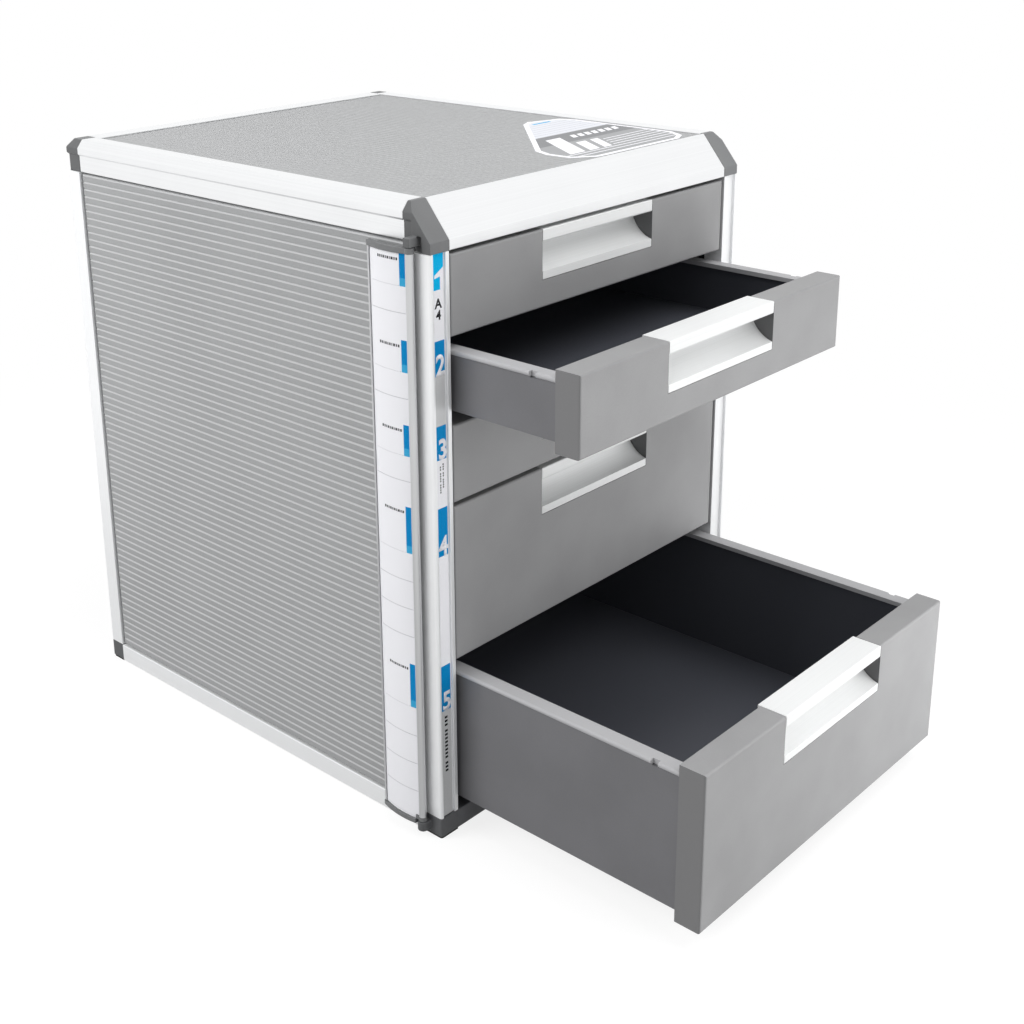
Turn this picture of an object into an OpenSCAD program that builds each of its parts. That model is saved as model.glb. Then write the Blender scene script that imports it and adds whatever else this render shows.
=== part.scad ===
// Five-drawer A4 desktop cabinet: an aluminium frame with grey plastic corners,
// fluted panels, sliding drawers with scooped aluminium handles, and an index
// plate that swings out on a vertical hinge at the front left corner.
// Frame: +X to the right along the front, +Y to the rear, +Z up.
// The origin is the centre of the footprint, on the surface that the feet stand on.

/* [Cabinet] */
// Overall width of the frame
body_w = 300; // [290:1:320]
// Overall depth of the frame, without open drawers
body_d = 348; // [340:1:380]
// Overall height
body_h = 398; // [396:1:410]

/* [Frame] */
// Width of a front post, seen from the front
post_w = 15.1; // [14.6:0.1:16]
// Depth of a front post
front_post_d = 14; // [13:0.5:16]
// Height of the corner feet
foot_h = 14; // [13.8:0.1:15]
// Height of the bottom rails
rail_h = 13.6; // [13.4:0.1:13.8]
// Height of the side and rear top profiles
side_profile_h = 22; // [21:0.5:24]
// Height of the sloping front top profile
front_profile_h = 27.4; // [26.6:0.2:28]
// Thickness of the rubber sole under each foot
sole_t = 1.2; // [0.8:0.1:2]

/* [Panels] */
// Thickness of a fluted board
board_t = 5; // [4:0.5:6]
// Distance from one flute to the next
flute_pitch = 5; // [5]
// Depth of the groove between two flutes
flute_depth = 0.6; // [0.3:0.1:1]
// How far the boards sit back from the frame
board_recess = 1.8; // [1:0.1:2.5]
// Shadow gap between a board and the frame
panel_gap = 1.2; // [0.8:0.1:1.6]

/* [Drawers] */
// Width of a drawer front
front_w = 267; // [255:1:268]
// Height of the three shallow drawer fronts
shallow_h = 48; // [46:0.5:48]
// Height of the two deep drawer fronts
deep_h = 99.6; // [96:0.5:100]
// Thickness of a drawer front
front_t = 17; // [16.5:0.5:18]
// Gap between two drawer fronts
front_gap = 2.4; // [2:0.1:3]
// How far drawer 2 stands open
drawer_2_pull = 92.4; // [0:0.1:200]
// How far drawer 5 stands open
drawer_5_pull = 179.3; // [0:0.1:200]

/* [Handles] */
// Length of a handle
handle_w = 108; // [80:1:120]
// Radius of the scoop behind a handle
scoop_r = 22; // [21:0.5:23]

/* [Hidden] */

$fn = 96;
eps = 0.01;
silver = "gainsboro";
frame_grey = "gray";
panel_grey = "darkgray";
dark_grey = "dimgray";

// Outer planes of the frame. The left side is modelled and the right side mirrored.
half_w = body_w / 2;
half_d = body_d / 2;
x_out = -half_w;
y_front = -half_d;
y_rear = half_d;
top_z = body_h;
opening_x = -half_w + post_w;

// Corner blocks: how far each reaches along the side, from the front or the rear
front_block_y = y_front + 20.7;
rear_block_y = y_rear - 13.4;
front_block_x = -half_w + 15.6;

// Top profiles: flat top, chamfer, lip and step
rim_inner_x = front_block_x;
rim_ridge_x = x_out + 4.4;
rim_front_y = y_front + 18.5;
rim_rear_y = y_rear - 19;
chamfer_h = 5.6;
lip_h = 4.2;
step_in = 1.2;
side_bottom_z = top_z - side_profile_h;
front_bottom_z = top_z - front_profile_h;
front_lip_h = 6.6;
leg_in = 7.4;
flange_z = top_z - 6.8;
front_web_y = y_front + 12.5;

// Flutes: length of the groove's leaning side and of its short side
ledge_h = 1.1;
nip_h = 0.35;
top_flute_depth = 0.25;

// Board edges: a thin tongue slides into a slot in the frame
tongue_t = 1.5;
tongue_len = 3;
slot_clear = 0.2;
slot_depth = tongue_len + 0.3;
side_outer_x = x_out + board_recess;
side_inner_x = side_outer_x + board_t;
rear_outer_y = y_rear - board_recess;
rear_inner_y = rear_outer_y - board_t;
rear_post_w = 14;
top_board_z = top_z - 0.7;
top_board_t = 4.3;
top_slot_front = 2;
floor_z = 7.5;
floor_t = 2;

// Hollow inside each extrusion, and the plugs of the corner pieces that fill it
plug_len = 12;
plug_clear = 0.1;

// Number strip channel in the front posts
channel_x0 = x_out + 2.4;
channel_x1 = x_out + 12.1;
channel_d = 1.8;
corner_r = 1.8;

// Drawer stack, listed from the top drawer down
stack_top = top_z - 29.7;
drawer_h = [shallow_h, shallow_h, shallow_h, deep_h, deep_h];
drawer_pull = [0, drawer_2_pull, 0, 0, drawer_5_pull];
function heights_above(k) = k == 0 ? 0 : heights_above(k - 1) + drawer_h[k - 1] + front_gap;
function drawer_z(k) = stack_top - heights_above(k - 1) - drawer_h[k - 1];
front_face_y = y_front + 0.7;
front_back_y = front_face_y + front_t;

// Trays
tray_rear_y = y_rear - 19;
tray_half_w = front_w / 2 - 1.9;
rim_half_w = front_w / 2 - 0.3;
rim_in_half_w = rim_half_w - 9.9;
tray_lift = 6;
rim_drop = 5.3;
rim_t = 3;
rim_r = 1.5;
tray_wall = 2.4;
notch_from_front = 14.2;
notch_len = 4.8;
notch_in = 2.8;

// Handles: heights below the top of the front, depths behind its face
handle_drop = 30.6;
handle_flange_d = 19;
handle_wall = 1.4;
handle_top_t = 1.8;
handle_lip_h = 7.8;
handle_lip_t = 2.2;
scoop_low = 25.7;
scoop_angle = 14;
scoop_c = [-scoop_r * sin(scoop_angle), -scoop_low + scoop_r * cos(scoop_angle)];
handle_gap = 0.4;
handle_foot_d = 6;

// Moulded drawer fronts: skin, rim around the back, and ribs
front_skin = 2.5;
front_edge_r = 1.5;
front_rim = 7;
rib_t = 2;
rib_pitch = 37.3;

// Screws that hold a front on its tray
screw_r = 1.4;
screw_bore_r = 1.45;
screw_head_r = 3;
screw_head_t = 1.5;
screw_len = 11;
boss_r = 3.4;

// Runner panels
runner_x0 = opening_x - 2.6;
runner_y0 = y_front + front_post_d + 0.2;
runner_y1 = rear_block_y - 0.2;
ledge_in = 8.7;
ledge_t = 4;
ledge_gap = 0.3;
guide_t = 3;
guide_gap = 1;
guide_in = 7.4;
runner_top_z = front_bottom_z - 0.2;
spacer_ys = [-120, 0, 120];
spacer_t = 3;
stop_t = 2.6;
stop_h = 10;

// Index plate: its hinge runs up the front left corner
hinge = [x_out - 4, y_front + 12];
hinge_r = 2.4;
pin_r = 1.5;
pin_bore_r = 1.56;
plate_r = 59.8;
plate_c = [x_out + 52.7, hinge[1] + 14.9];
plate_z0 = 10.8;
plate_z1 = 370.6;
plate_rear_y = hinge[1] + 33.2;
strip_y = hinge[1] + 1.4;
card_rear_y = hinge[1] + 31.6;
window_t = 0.5;
card_t = 0.3;
sheet_t = 1.1;
window_inset = 0.4;
cap_z0 = 7.8;
cap_z1 = 374;
knuckle_top = 13.2;
hinge_boss_r = 3.4;
boss_z0 = 4.4;
boss_z1 = 10.4;
lug_z0 = 374.4;
lug_z1 = 379.8;
lug_out = 2.5;
lug_half_w = 2.6;
lug_recess = 2.6;

// A straight bar along X, Y or Z with a 2D section given in the other two axes
module bar_x(x0, x1) { translate([x0, 0, 0]) rotate([90, 0, 90]) linear_extrude(x1 - x0) children(); }
module bar_y(y0, y1) { translate([0, y1, 0]) rotate([90, 0, 0]) linear_extrude(y1 - y0) children(); }
module bar_z(z0, z1) { translate([0, 0, z0]) linear_extrude(z1 - z0) children(); }
module block(lo, hi) { translate(lo) cube(hi - lo); }
module rect(lo, hi) { translate(lo) square(hi - lo); }

// A rectangle whose two corners at its low X are rounded
module end_rounded(lo, hi, r) {
    rect([lo[0] + r, lo[1]], hi);
    rect([lo[0], lo[1] + r], [hi[0], hi[1] - r]);
    for (y = [lo[1] + r, hi[1] - r]) translate([lo[0] + r, y]) circle(r);
}

// A rectangle whose corner at its low X and low Y is rounded
module corner_rounded(lo, hi, r) {
    rect([lo[0] + r, lo[1]], hi);
    rect([lo[0], lo[1] + r], hi);
    translate([lo[0] + r, lo[1] + r]) circle(r);
}

// ---- Frame sections ----

// Filled outline of a side or rear top profile: flat top, chamfer, lip, step
module rim_outline(inner, ridge, out, bottom, step) {
    s = sign(inner - out);
    polygon([
        [inner, top_z], [ridge, top_z], [out, top_z - chamfer_h],
        [out, top_z - chamfer_h - lip_h], [out + s * step, top_z - chamfer_h - lip_h - step * 0.6],
        [out + s * step, bottom], [inner, bottom]
    ]);
}

// Hollow section of a side or rear top profile, with slots for the board and the top panel
module rim_section(inner, ridge, out, board_in) {
    s = sign(inner - out);
    difference() {
        rim_outline(inner, ridge, out, side_bottom_z, step_in);
        rim_hole(out + s * (step_in + leg_in), inner + s, side_bottom_z - 1, flange_z);
        rim_hole(board_in - s * tongue_t - s * slot_clear, board_in + s * slot_clear,
            side_bottom_z - 1, side_bottom_z + slot_depth);
        rim_hole(inner + s, inner - s * slot_depth, top_board_z - top_board_t - slot_clear,
            top_board_z - top_board_t + tongue_t + slot_clear);
        rim_plug(out, s, 0);
    }
}
module rim_hole(a, b, z0, z1) { rect([min(a, b), z0], [max(a, b), z1]); }
module rim_plug(out, s, clear) {
    rim_hole(out + s * (step_in + 1.4 + clear), out + s * (step_in + leg_in - 1.4 - clear),
        side_bottom_z + 4.8 + clear, flange_z - 1.6 - clear);
}

// Filled outline of the sloping front profile
module front_outline() {
    polygon([
        [rim_front_y, top_z], [rim_front_y - 1, top_z], [y_front + 0.4, front_bottom_z + front_lip_h],
        [y_front, front_bottom_z + front_lip_h - 0.6], [y_front, front_bottom_z],
        [rim_front_y, front_bottom_z]
    ]);
}
module front_plug(clear) {
    rect([y_front + 3 + clear, front_bottom_z + 1.8 + clear],
        [front_web_y - 1.8 - clear, front_bottom_z + 7.4 - clear]);
}
module front_section() {
    difference() {
        front_outline();
        polygon([
            [front_web_y, front_bottom_z - 1], [front_web_y, front_bottom_z + 8.4],
            [rim_front_y, front_bottom_z + 15], [rim_front_y + 1, front_bottom_z + 15],
            [rim_front_y + 1, front_bottom_z - 1]
        ]);
        rect([rim_front_y - top_slot_front, top_board_z - top_board_t - slot_clear],
            [rim_front_y + 1, top_board_z - top_board_t + tongue_t + slot_clear]);
        front_plug(0);
    }
}

// Section of a front post, in X and Y: rounded corner, strip channel, board slot
module front_post_plug(clear) {
    rect([x_out + 2 + clear, y_front + channel_d + 1.4 + clear],
        [opening_x - 1.6 - clear, y_front + front_post_d - slot_depth - 1.6 - clear]);
}
module front_post_section() {
    difference() {
        corner_rounded([x_out, y_front], [opening_x, y_front + front_post_d], corner_r);
        rect([channel_x0, y_front - 1], [channel_x1, y_front + channel_d]);
        rect([side_inner_x - tongue_t - slot_clear, y_front + front_post_d - slot_depth],
            [side_inner_x + slot_clear, y_front + front_post_d + 1]);
        front_post_plug(0);
    }
}

// Section of a rear post, in X and Y
module rear_post_plug(clear) {
    rect([x_out + 1.6 + clear, rear_inner_y + tongue_t + 1.2 + clear],
        [x_out + rear_post_w - slot_depth - 1 - clear, y_rear - 1.4 - clear]);
}
module rear_post_section() {
    difference() {
        mirror([0, 1]) corner_rounded([x_out, -y_rear], [x_out + rear_post_w, -rear_block_y], corner_r);
        rect([side_inner_x - tongue_t - slot_clear, rear_block_y - 1],
            [side_inner_x + slot_clear, rear_block_y + slot_depth]);
        rect([x_out + rear_post_w - slot_depth, rear_inner_y - slot_clear],
            [x_out + rear_post_w + 1, rear_inner_y + tongue_t + slot_clear]);
        rear_post_plug(0);
    }
}

// Section of a bottom rail: distance in from its outer face, and height
rail_w = 10;
module rail_plug(clear) { rect([1.6 + clear, sole_t + 1 + clear], [8.4 - clear, 6.1 - clear]); }
module rail_section(board_slot) {
    difference() {
        polygon([
            [0, sole_t / 2 + 0.4], [0.4, sole_t / 2], [rail_w, sole_t / 2], [rail_w, rail_h],
            [0.4, rail_h], [0, rail_h - 0.4]
        ]);
        if (board_slot) {
            rect([board_recess + board_t - tongue_t - slot_clear, rail_h - slot_depth],
                [board_recess + board_t + slot_clear, rail_h + 1]);
        }
        rect([rail_w - 2.6, floor_z - slot_clear], [rail_w + 1, floor_z + floor_t + slot_clear]);
        rail_plug(0);
    }
}

// ---- Frame parts ----

module left_profile() {
    color(silver) bar_y(front_block_y, rear_block_y)
        rim_section(rim_inner_x, rim_ridge_x, x_out, side_inner_x);
}
module top_front_profile() {
    color(silver) bar_x(front_block_x, -front_block_x) front_section();
}
module top_rear_profile() {
    color(silver) bar_x(front_block_x, -front_block_x)
        rim_section(rim_rear_y, y_rear - 4.4, y_rear, rear_inner_y);
}
module left_front_post() {
    color(silver) bar_z(foot_h, front_bottom_z) front_post_section();
}
module left_rear_post() {
    color(silver) bar_z(foot_h, side_bottom_z) rear_post_section();
}
module bottom_front_rail() {
    color(dark_grey) bar_x(front_block_x, -front_block_x)
        translate([y_front + 0.4, 0]) rail_section(false);
}
module bottom_rear_rail() {
    color(silver) bar_x(front_block_x, -front_block_x)
        translate([y_rear, 0]) mirror([1, 0]) rail_section(true);
}
module left_rail() {
    color(silver) bar_y(front_block_y, rear_block_y)
        translate([x_out, 0]) rail_section(true);
}

// Front top corner cap: the meeting of the side outline and the front slope
module front_cap() {
    plug_y0 = front_block_y;
    difference() {
        union() {
            intersection() {
                bar_y(y_front, y_front + front_post_d)
                    rim_outline(front_block_x, rim_ridge_x, x_out, front_bottom_z, 0);
                bar_x(x_out, front_block_x) front_cap_fill();
            }
            intersection() {
                bar_y(y_front + front_post_d - eps, front_block_y)
                    rim_outline(front_block_x, rim_ridge_x, x_out, side_bottom_z, step_in);
                bar_x(x_out, front_block_x) front_cap_fill();
            }
            bar_y(plug_y0 - eps, plug_y0 + plug_len) rim_plug(x_out, 1, plug_clear);
            bar_x(front_block_x - eps, front_block_x + plug_len) front_plug(plug_clear);
            bar_z(front_bottom_z - plug_len, front_bottom_z + eps) front_post_plug(plug_clear);
        }
        block([side_inner_x - tongue_t - slot_clear, y_front + front_post_d - slot_depth, front_bottom_z - eps],
            [side_inner_x + slot_clear, front_block_y + eps, side_bottom_z + slot_depth]);
        corner_panel_slot(front_block_x, front_block_y, rim_front_y - top_slot_front);
    }
}
module front_cap_fill() {
    front_outline();
    rect([rim_front_y - eps, front_bottom_z], [front_block_y, top_z]);
}
// Pocket for the corner of the top panel
module corner_panel_slot(x1, y_out, y_in) {
    block([rim_inner_x - slot_depth, min(y_out, y_in) - eps, top_board_z - top_board_t - slot_clear],
        [x1 + 1, max(y_out, y_in) + eps, top_board_z - top_board_t + tongue_t + slot_clear]);
}
module front_left_cap() {
    color(frame_grey) difference() {
        union() {
            difference() {
                front_cap();
                block([x_out - 1, hinge[1] - lug_half_w - lug_recess, front_bottom_z - eps],
                    [x_out + lug_recess, hinge[1] + lug_half_w, lug_z1]);
            }
            block([hinge[0] - lug_out, hinge[1] - lug_half_w, lug_z0],
                [x_out + lug_recess + eps, hinge[1] + lug_half_w, lug_z1 + eps]);
        }
        translate([hinge[0], hinge[1], lug_z0 - 1]) cylinder(r = pin_bore_r, h = 5);
    }
}

// Rear top corner cap: both outlines have the lip and the step
module rear_cap() {
    color(frame_grey) difference() {
        union() {
            intersection() {
                bar_y(rear_block_y, y_rear)
                    rim_outline(front_block_x, rim_ridge_x, x_out, side_bottom_z, step_in);
                bar_x(x_out, front_block_x)
                    rim_outline(rear_block_y, y_rear - 4.4, y_rear, side_bottom_z, step_in);
            }
            bar_y(rear_block_y - plug_len, rear_block_y + eps) rim_plug(x_out, 1, plug_clear);
            bar_x(front_block_x - eps, front_block_x + plug_len) rim_plug(y_rear, -1, plug_clear);
            bar_z(side_bottom_z - plug_len, side_bottom_z + eps) rear_post_plug(plug_clear);
        }
        block([x_out + rear_post_w - slot_depth, rear_inner_y - slot_clear, side_bottom_z - 1],
            [front_block_x + eps, rear_inner_y + tongue_t + slot_clear, side_bottom_z + slot_depth]);
        block([side_inner_x - tongue_t - slot_clear, rear_block_y - eps, side_bottom_z - 1],
            [side_inner_x + slot_clear, rear_block_y + slot_depth, side_bottom_z + slot_depth]);
    }
}

// Corner feet: a rounded block with plugs into the post and both rails
module front_foot() {
    difference() {
        union() {
            bar_z(sole_t, foot_h)
                corner_rounded([x_out, y_front], [front_block_x, front_block_y], corner_r);
            bar_z(foot_h - eps, foot_h + plug_len) front_post_plug(plug_clear);
            bar_y(front_block_y - eps, front_block_y + plug_len) translate([x_out, 0]) rail_plug(plug_clear);
            bar_x(front_block_x - eps, front_block_x + plug_len)
                translate([y_front + 0.4, 0]) rail_plug(plug_clear);
        }
        block([side_inner_x - tongue_t - slot_clear, y_front + front_post_d - slot_depth, rail_h - slot_depth],
            [side_inner_x + slot_clear, front_block_y + eps, foot_h + 1]);
        block([x_out - 1, y_front + front_post_d, rail_h],
            [front_block_x + 1, front_block_y + eps, foot_h + 1]);
        block([x_out + rail_w - 2.6, y_front + rail_w - 2.2, floor_z - slot_clear],
            [front_block_x + 1, front_block_y + eps, floor_z + floor_t + slot_clear]);
    }
}
module front_left_foot() {
    color(frame_grey) difference() {
        union() {
            front_foot();
            translate([hinge[0], hinge[1], boss_z0]) cylinder(r = hinge_boss_r, h = boss_z1 - boss_z0);
            block([hinge[0], hinge[1] - hinge_boss_r, boss_z0],
                [x_out + 1, hinge[1] + hinge_boss_r, boss_z1]);
        }
        translate([hinge[0], hinge[1], boss_z1 - 5]) cylinder(r = pin_bore_r, h = 6);
    }
}
module rear_foot() {
    color(frame_grey) difference() {
        union() {
            bar_z(sole_t, foot_h)
                mirror([0, 1]) corner_rounded([x_out, -y_rear], [front_block_x, -rear_block_y], corner_r);
            bar_z(foot_h - eps, foot_h + plug_len) rear_post_plug(plug_clear);
            bar_y(rear_block_y - plug_len, rear_block_y + eps) translate([x_out, 0]) rail_plug(plug_clear);
            bar_x(front_block_x - eps, front_block_x + plug_len)
                translate([y_rear, 0]) mirror([1, 0]) rail_plug(plug_clear);
        }
        block([side_inner_x - tongue_t - slot_clear, rear_block_y - eps, rail_h - slot_depth],
            [side_inner_x + slot_clear, rear_block_y + slot_depth, foot_h + 1]);
        block([x_out + rear_post_w - slot_depth, rear_inner_y - slot_clear, rail_h - slot_depth],
            [front_block_x + eps, rear_inner_y + tongue_t + slot_clear, foot_h + 1]);
        block([x_out + rear_post_w, rear_block_y - eps, rail_h],
            [front_block_x + 1, y_rear + 1, foot_h + 1]);
        block([x_out + rail_w - 2.6, rear_block_y - eps, floor_z - slot_clear],
            [front_block_x + 1, y_rear - rail_w + 2.6, floor_z + floor_t + slot_clear]);
    }
}
module foot_soles() {
    inset = 0.5;
    color(dark_grey) for (s = [0, 1]) mirror([s, 0, 0]) {
        bar_z(0, sole_t) corner_rounded([x_out + inset, y_front + inset],
            [front_block_x - inset, front_block_y - inset], corner_r);
        bar_z(0, sole_t) mirror([0, 1]) corner_rounded([x_out + inset, -y_rear + inset],
            [front_block_x - inset, -rear_block_y - inset], corner_r);
    }
}

// ---- Panels ----

// Section of a fluted board from z0 to z1, on X = 0: each flute is a flat band over a shallow groove,
// whose long side leans back and faces up
module fluted_section(z0, z1, thickness, depth) {
    count = floor((z1 - z0) / flute_pitch + eps);
    polygon(concat(
        [[0, z0], [thickness, z0]],
        [for (i = [1 : count]) each [
            [thickness, z0 + i * flute_pitch - ledge_h - nip_h],
            [thickness - depth, z0 + i * flute_pitch - nip_h],
            [thickness, z0 + i * flute_pitch]
        ]],
        [[thickness, z1], [0, z1]]
    ));
}
// Fluted board in its own axes: X is its length, Y its height, Z outwards from its inner face
module fluted_board(len, z0, z1, tongue) {
    rotate([0, -90, 0]) translate([0, 0, -len / 2]) linear_extrude(len)
        fluted_section(z0, z1, board_t, flute_depth);
    translate([-len / 2 - tongue, z0 - tongue, 0]) cube([len + 2 * tongue, z1 - z0 + 2 * tongue, tongue_t]);
}
board_z0 = rail_h + panel_gap;
board_z1 = side_bottom_z - panel_gap;
module left_panel() {
    y0 = y_front + front_post_d + panel_gap;
    y1 = rear_block_y - panel_gap;
    color(panel_grey) translate([side_inner_x, (y0 + y1) / 2, 0]) rotate([90, 0, -90])
        fluted_board(y1 - y0, board_z0, board_z1, panel_gap + tongue_len);
}
module rear_panel() {
    half = -x_out - rear_post_w - panel_gap;
    color(panel_grey) translate([0, rear_inner_y, 0]) rotate([90, 0, 180])
        fluted_board(2 * half, board_z0, board_z1, panel_gap + tongue_len);
}
module top_panel() {
    x1 = -rim_inner_x - panel_gap;
    y0 = rim_front_y + panel_gap;
    y1 = rim_rear_y - panel_gap;
    reach = panel_gap + tongue_len;
    z0 = top_board_z - top_board_t;
    color(panel_grey) {
        bar_y(y0, y1) mirror([1, 0]) rotate(90) translate([z0, 0])
            fluted_section(-x1, x1, top_board_t, top_flute_depth);
        block([-x1 - reach, y0 - panel_gap - top_slot_front + 0.2, z0],
            [x1 + reach, y1 + reach, z0 + tongue_t]);
    }
}
module bottom_panel() {
    color(dark_grey) block([x_out + rail_w - 2.4, y_front + rail_w - 1.8, floor_z],
        [-x_out - rail_w + 2.4, y_rear - rail_w + 2.4, floor_z + floor_t]);
}

// Label on the top panel, with one long cut corner
module top_label() {
    color("white") bar_z(top_board_z, top_board_z + 0.15) polygon([
        [90, -34], [100.5, -28.8], [127, -36.5], [131.8, -48], [131.8, -131.5], [124, -146],
        [112, -152], [26, -152], [10.5, -141], [9.8, -122], [15, -109]
    ]);
}

// Number strip and its clear window, in the channel of the left front post
module number_strip() {
    y1 = y_front + channel_d - 0.05;
    color("white")
        block([channel_x0 + 0.2, y1 - 0.5, foot_h + 0.4], [channel_x1 - 0.8, y1, front_bottom_z - 0.2]);
}
module number_strip_window() {
    y1 = y_front + channel_d - 0.65;
    color("aliceblue", 0.4)
        block([channel_x0 + 0.1, y1 - 0.8, foot_h + 0.4], [channel_x1 - 0.7, y1, front_bottom_z - 0.2]);
}

// ---- Runners ----

// Liner with a carrying ledge and an anti-tip guide for each drawer
module left_runner_panel() {
    color(dark_grey) {
        block([runner_x0, runner_y0, rail_h], [opening_x, runner_y1, runner_top_z]);
        for (y = spacer_ys) {
            block([side_inner_x, y - spacer_t / 2, rail_h],
                [runner_x0 + eps, y + spacer_t / 2, runner_top_z]);
        }
        for (k = [1 : 5]) {
            ledge_top = drawer_z(k) + tray_lift - ledge_gap;
            rim_top = drawer_z(k) + drawer_h[k - 1] - rim_drop;
            block([opening_x - eps, front_back_y + 0.8, ledge_top - ledge_t],
                [opening_x + ledge_in, tray_rear_y + 3, ledge_top]);
            block([opening_x - eps, front_back_y + 0.8, rim_top + guide_gap],
                [opening_x + guide_in, tray_rear_y, rim_top + guide_gap + guide_t]);
            block([opening_x - eps, tray_rear_y + 3 - stop_t, ledge_top - eps],
                [opening_x + ledge_in, tray_rear_y + 3, ledge_top + stop_h]);
        }
    }
}

// ---- Index plate ----

// A curved layer of the plate between two depths below its outer face, from y0 to y1
module plate_layer(d0, d1, y0, y1) {
    intersection() {
        translate(plate_c) difference() {
            circle(plate_r - d0, $fn = 360);
            circle(plate_r - d1, $fn = 360);
        }
        rect([x_out - 12, y0], [x_out + 8, y1]);
    }
}
// Cut at the lower front corner of the plate that leaves room for the lower knuckle
link_y = hinge[1] + 4.2;
module knuckle_room() {
    block([hinge[0] - 8, hinge[1] - 4, plate_z0 - 1], [hinge[0] + 8, link_y + 0.9, knuckle_top + 0.3]);
}
window_d = window_inset + window_t;
card_d = window_d + 0.05;
sheet_d = card_d + card_t + 0.05;
plate_d = sheet_d + sheet_t;
// Aluminium holder: back sheet, rear lip and the rounded hinge strip
module index_plate() {
    color(silver) difference() {
        bar_z(plate_z0, plate_z1) {
            plate_layer(sheet_d, plate_d, strip_y - 0.5, plate_rear_y);
            plate_layer(0, plate_d, card_rear_y + 0.2, plate_rear_y);
            translate(hinge) circle(hinge_r);
            intersection() {
                plate_layer(-0.4, plate_d, hinge[1], strip_y);
                rect([x_out - 12, hinge[1]], [x_out - 0.5, strip_y]);
            }
            rect([hinge[0] - hinge_r, hinge[1]], [x_out - 1.7, strip_y - 0.5]);
        }
        bar_z(plate_z0 - 1, plate_z1 + 1) plate_layer(-3, sheet_d, strip_y, card_rear_y + 0.2);
        knuckle_room();
    }
}
module index_card() {
    color("white") difference() {
        bar_z(plate_z0, plate_z1) plate_layer(card_d, card_d + card_t, strip_y + 0.2, card_rear_y);
        knuckle_room();
    }
}
module index_window() {
    color("aliceblue", 0.4) difference() {
        bar_z(plate_z0, plate_z1) plate_layer(window_inset, window_d, strip_y + 0.1, card_rear_y + 0.1);
        knuckle_room();
    }
}
// End cap outline: follows the curved face and closes round at the rear
module cap_outline(y0) {
    plate_layer(-0.5, plate_d + 0.3, y0, plate_rear_y + 0.2);
}
module index_top_cap() {
    color(frame_grey) {
        bar_z(plate_z1, cap_z1) {
            cap_outline(hinge[1]);
            translate(hinge) circle(hinge_r + 0.3);
        }
        translate([hinge[0], hinge[1], cap_z1 - eps]) cylinder(r = pin_r, h = 3.6 + eps);
    }
}
module index_bottom_cap() {
    color(frame_grey) {
        bar_z(cap_z0, plate_z0) cap_outline(link_y);
        bar_z(boss_z1 + 0.3, knuckle_top) {
            translate(hinge) circle(hinge_r + 0.1);
            rect([hinge[0] - 1.6, hinge[1]], [hinge[0] + 1.6, link_y + 0.6]);
        }
        bar_z(cap_z0, knuckle_top) rect([hinge[0] - 1.6, link_y - 0.2], [hinge[0] + 1.6, link_y + 0.6]);
        translate([hinge[0], hinge[1], boss_z1 - 4]) cylinder(r = pin_r, h = 4.4);
    }
}

// ---- Drawers, numbered from the top ----

// Screw places behind a front, on its ribs: distance from the centre, height above its bottom
function screw_spots(h) = h < 60
    ? [for (i = [-3, -2, 2, 3]) [i * rib_pitch, h / 2 - 3]]
    : [for (i = [-3, 3], z = [h / 4, h * 3 / 4]) [i * rib_pitch, z]];

module place_drawer(k) {
    translate([0, front_back_y - drawer_pull[k - 1], drawer_z(k)]) children();
}
// Front: a moulded shell, ribbed behind, with a notch for the handle. Y = 0 is its back face.
module drawer_front(k) {
    h = drawer_h[k - 1];
    notch_x = handle_w / 2 + handle_gap;
    color(frame_grey) place_drawer(k) difference() {
        union() {
            difference() {
                intersection() {
                    bar_x(-front_w / 2, front_w / 2) end_rounded([-front_t, 0], [0, h], front_edge_r);
                    bar_z(0, h) rotate(90)
                        end_rounded([-front_t, -front_w / 2], [0, front_w / 2], front_edge_r);
                }
                difference() {
                    block([-front_w / 2 + front_rim, -front_t + front_skin, front_rim],
                        [front_w / 2 - front_rim, 1, h - front_rim]);
                    block([-notch_x - front_skin, -front_t, h - handle_drop - handle_gap - front_skin],
                        [notch_x + front_skin, 1, h]);
                    front_ribs(h);
                }
            }
            for (p = screw_spots(h)) {
                translate([p[0], 0, p[1]]) rotate([90, 0, 0]) cylinder(r = boss_r, h = front_t - eps);
            }
        }
        block([-notch_x, -front_t - 1, h - handle_drop - handle_gap], [notch_x, 1, h + 1]);
        for (p = screw_spots(h)) {
            translate([p[0], 1, p[1]]) rotate([90, 0, 0]) cylinder(r = screw_bore_r, h = screw_len + 1);
        }
    }
}
module front_ribs(h) {
    for (i = [-3 : 3]) {
        block([i * rib_pitch - rib_t / 2, -front_t, 0], [i * rib_pitch + rib_t / 2, 0, h]);
    }
    if (h > 60) {
        block([-front_w / 2, -front_t, h / 2 - rib_t / 2], [front_w / 2, 0, h / 2 + rib_t / 2]);
    }
}
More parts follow.
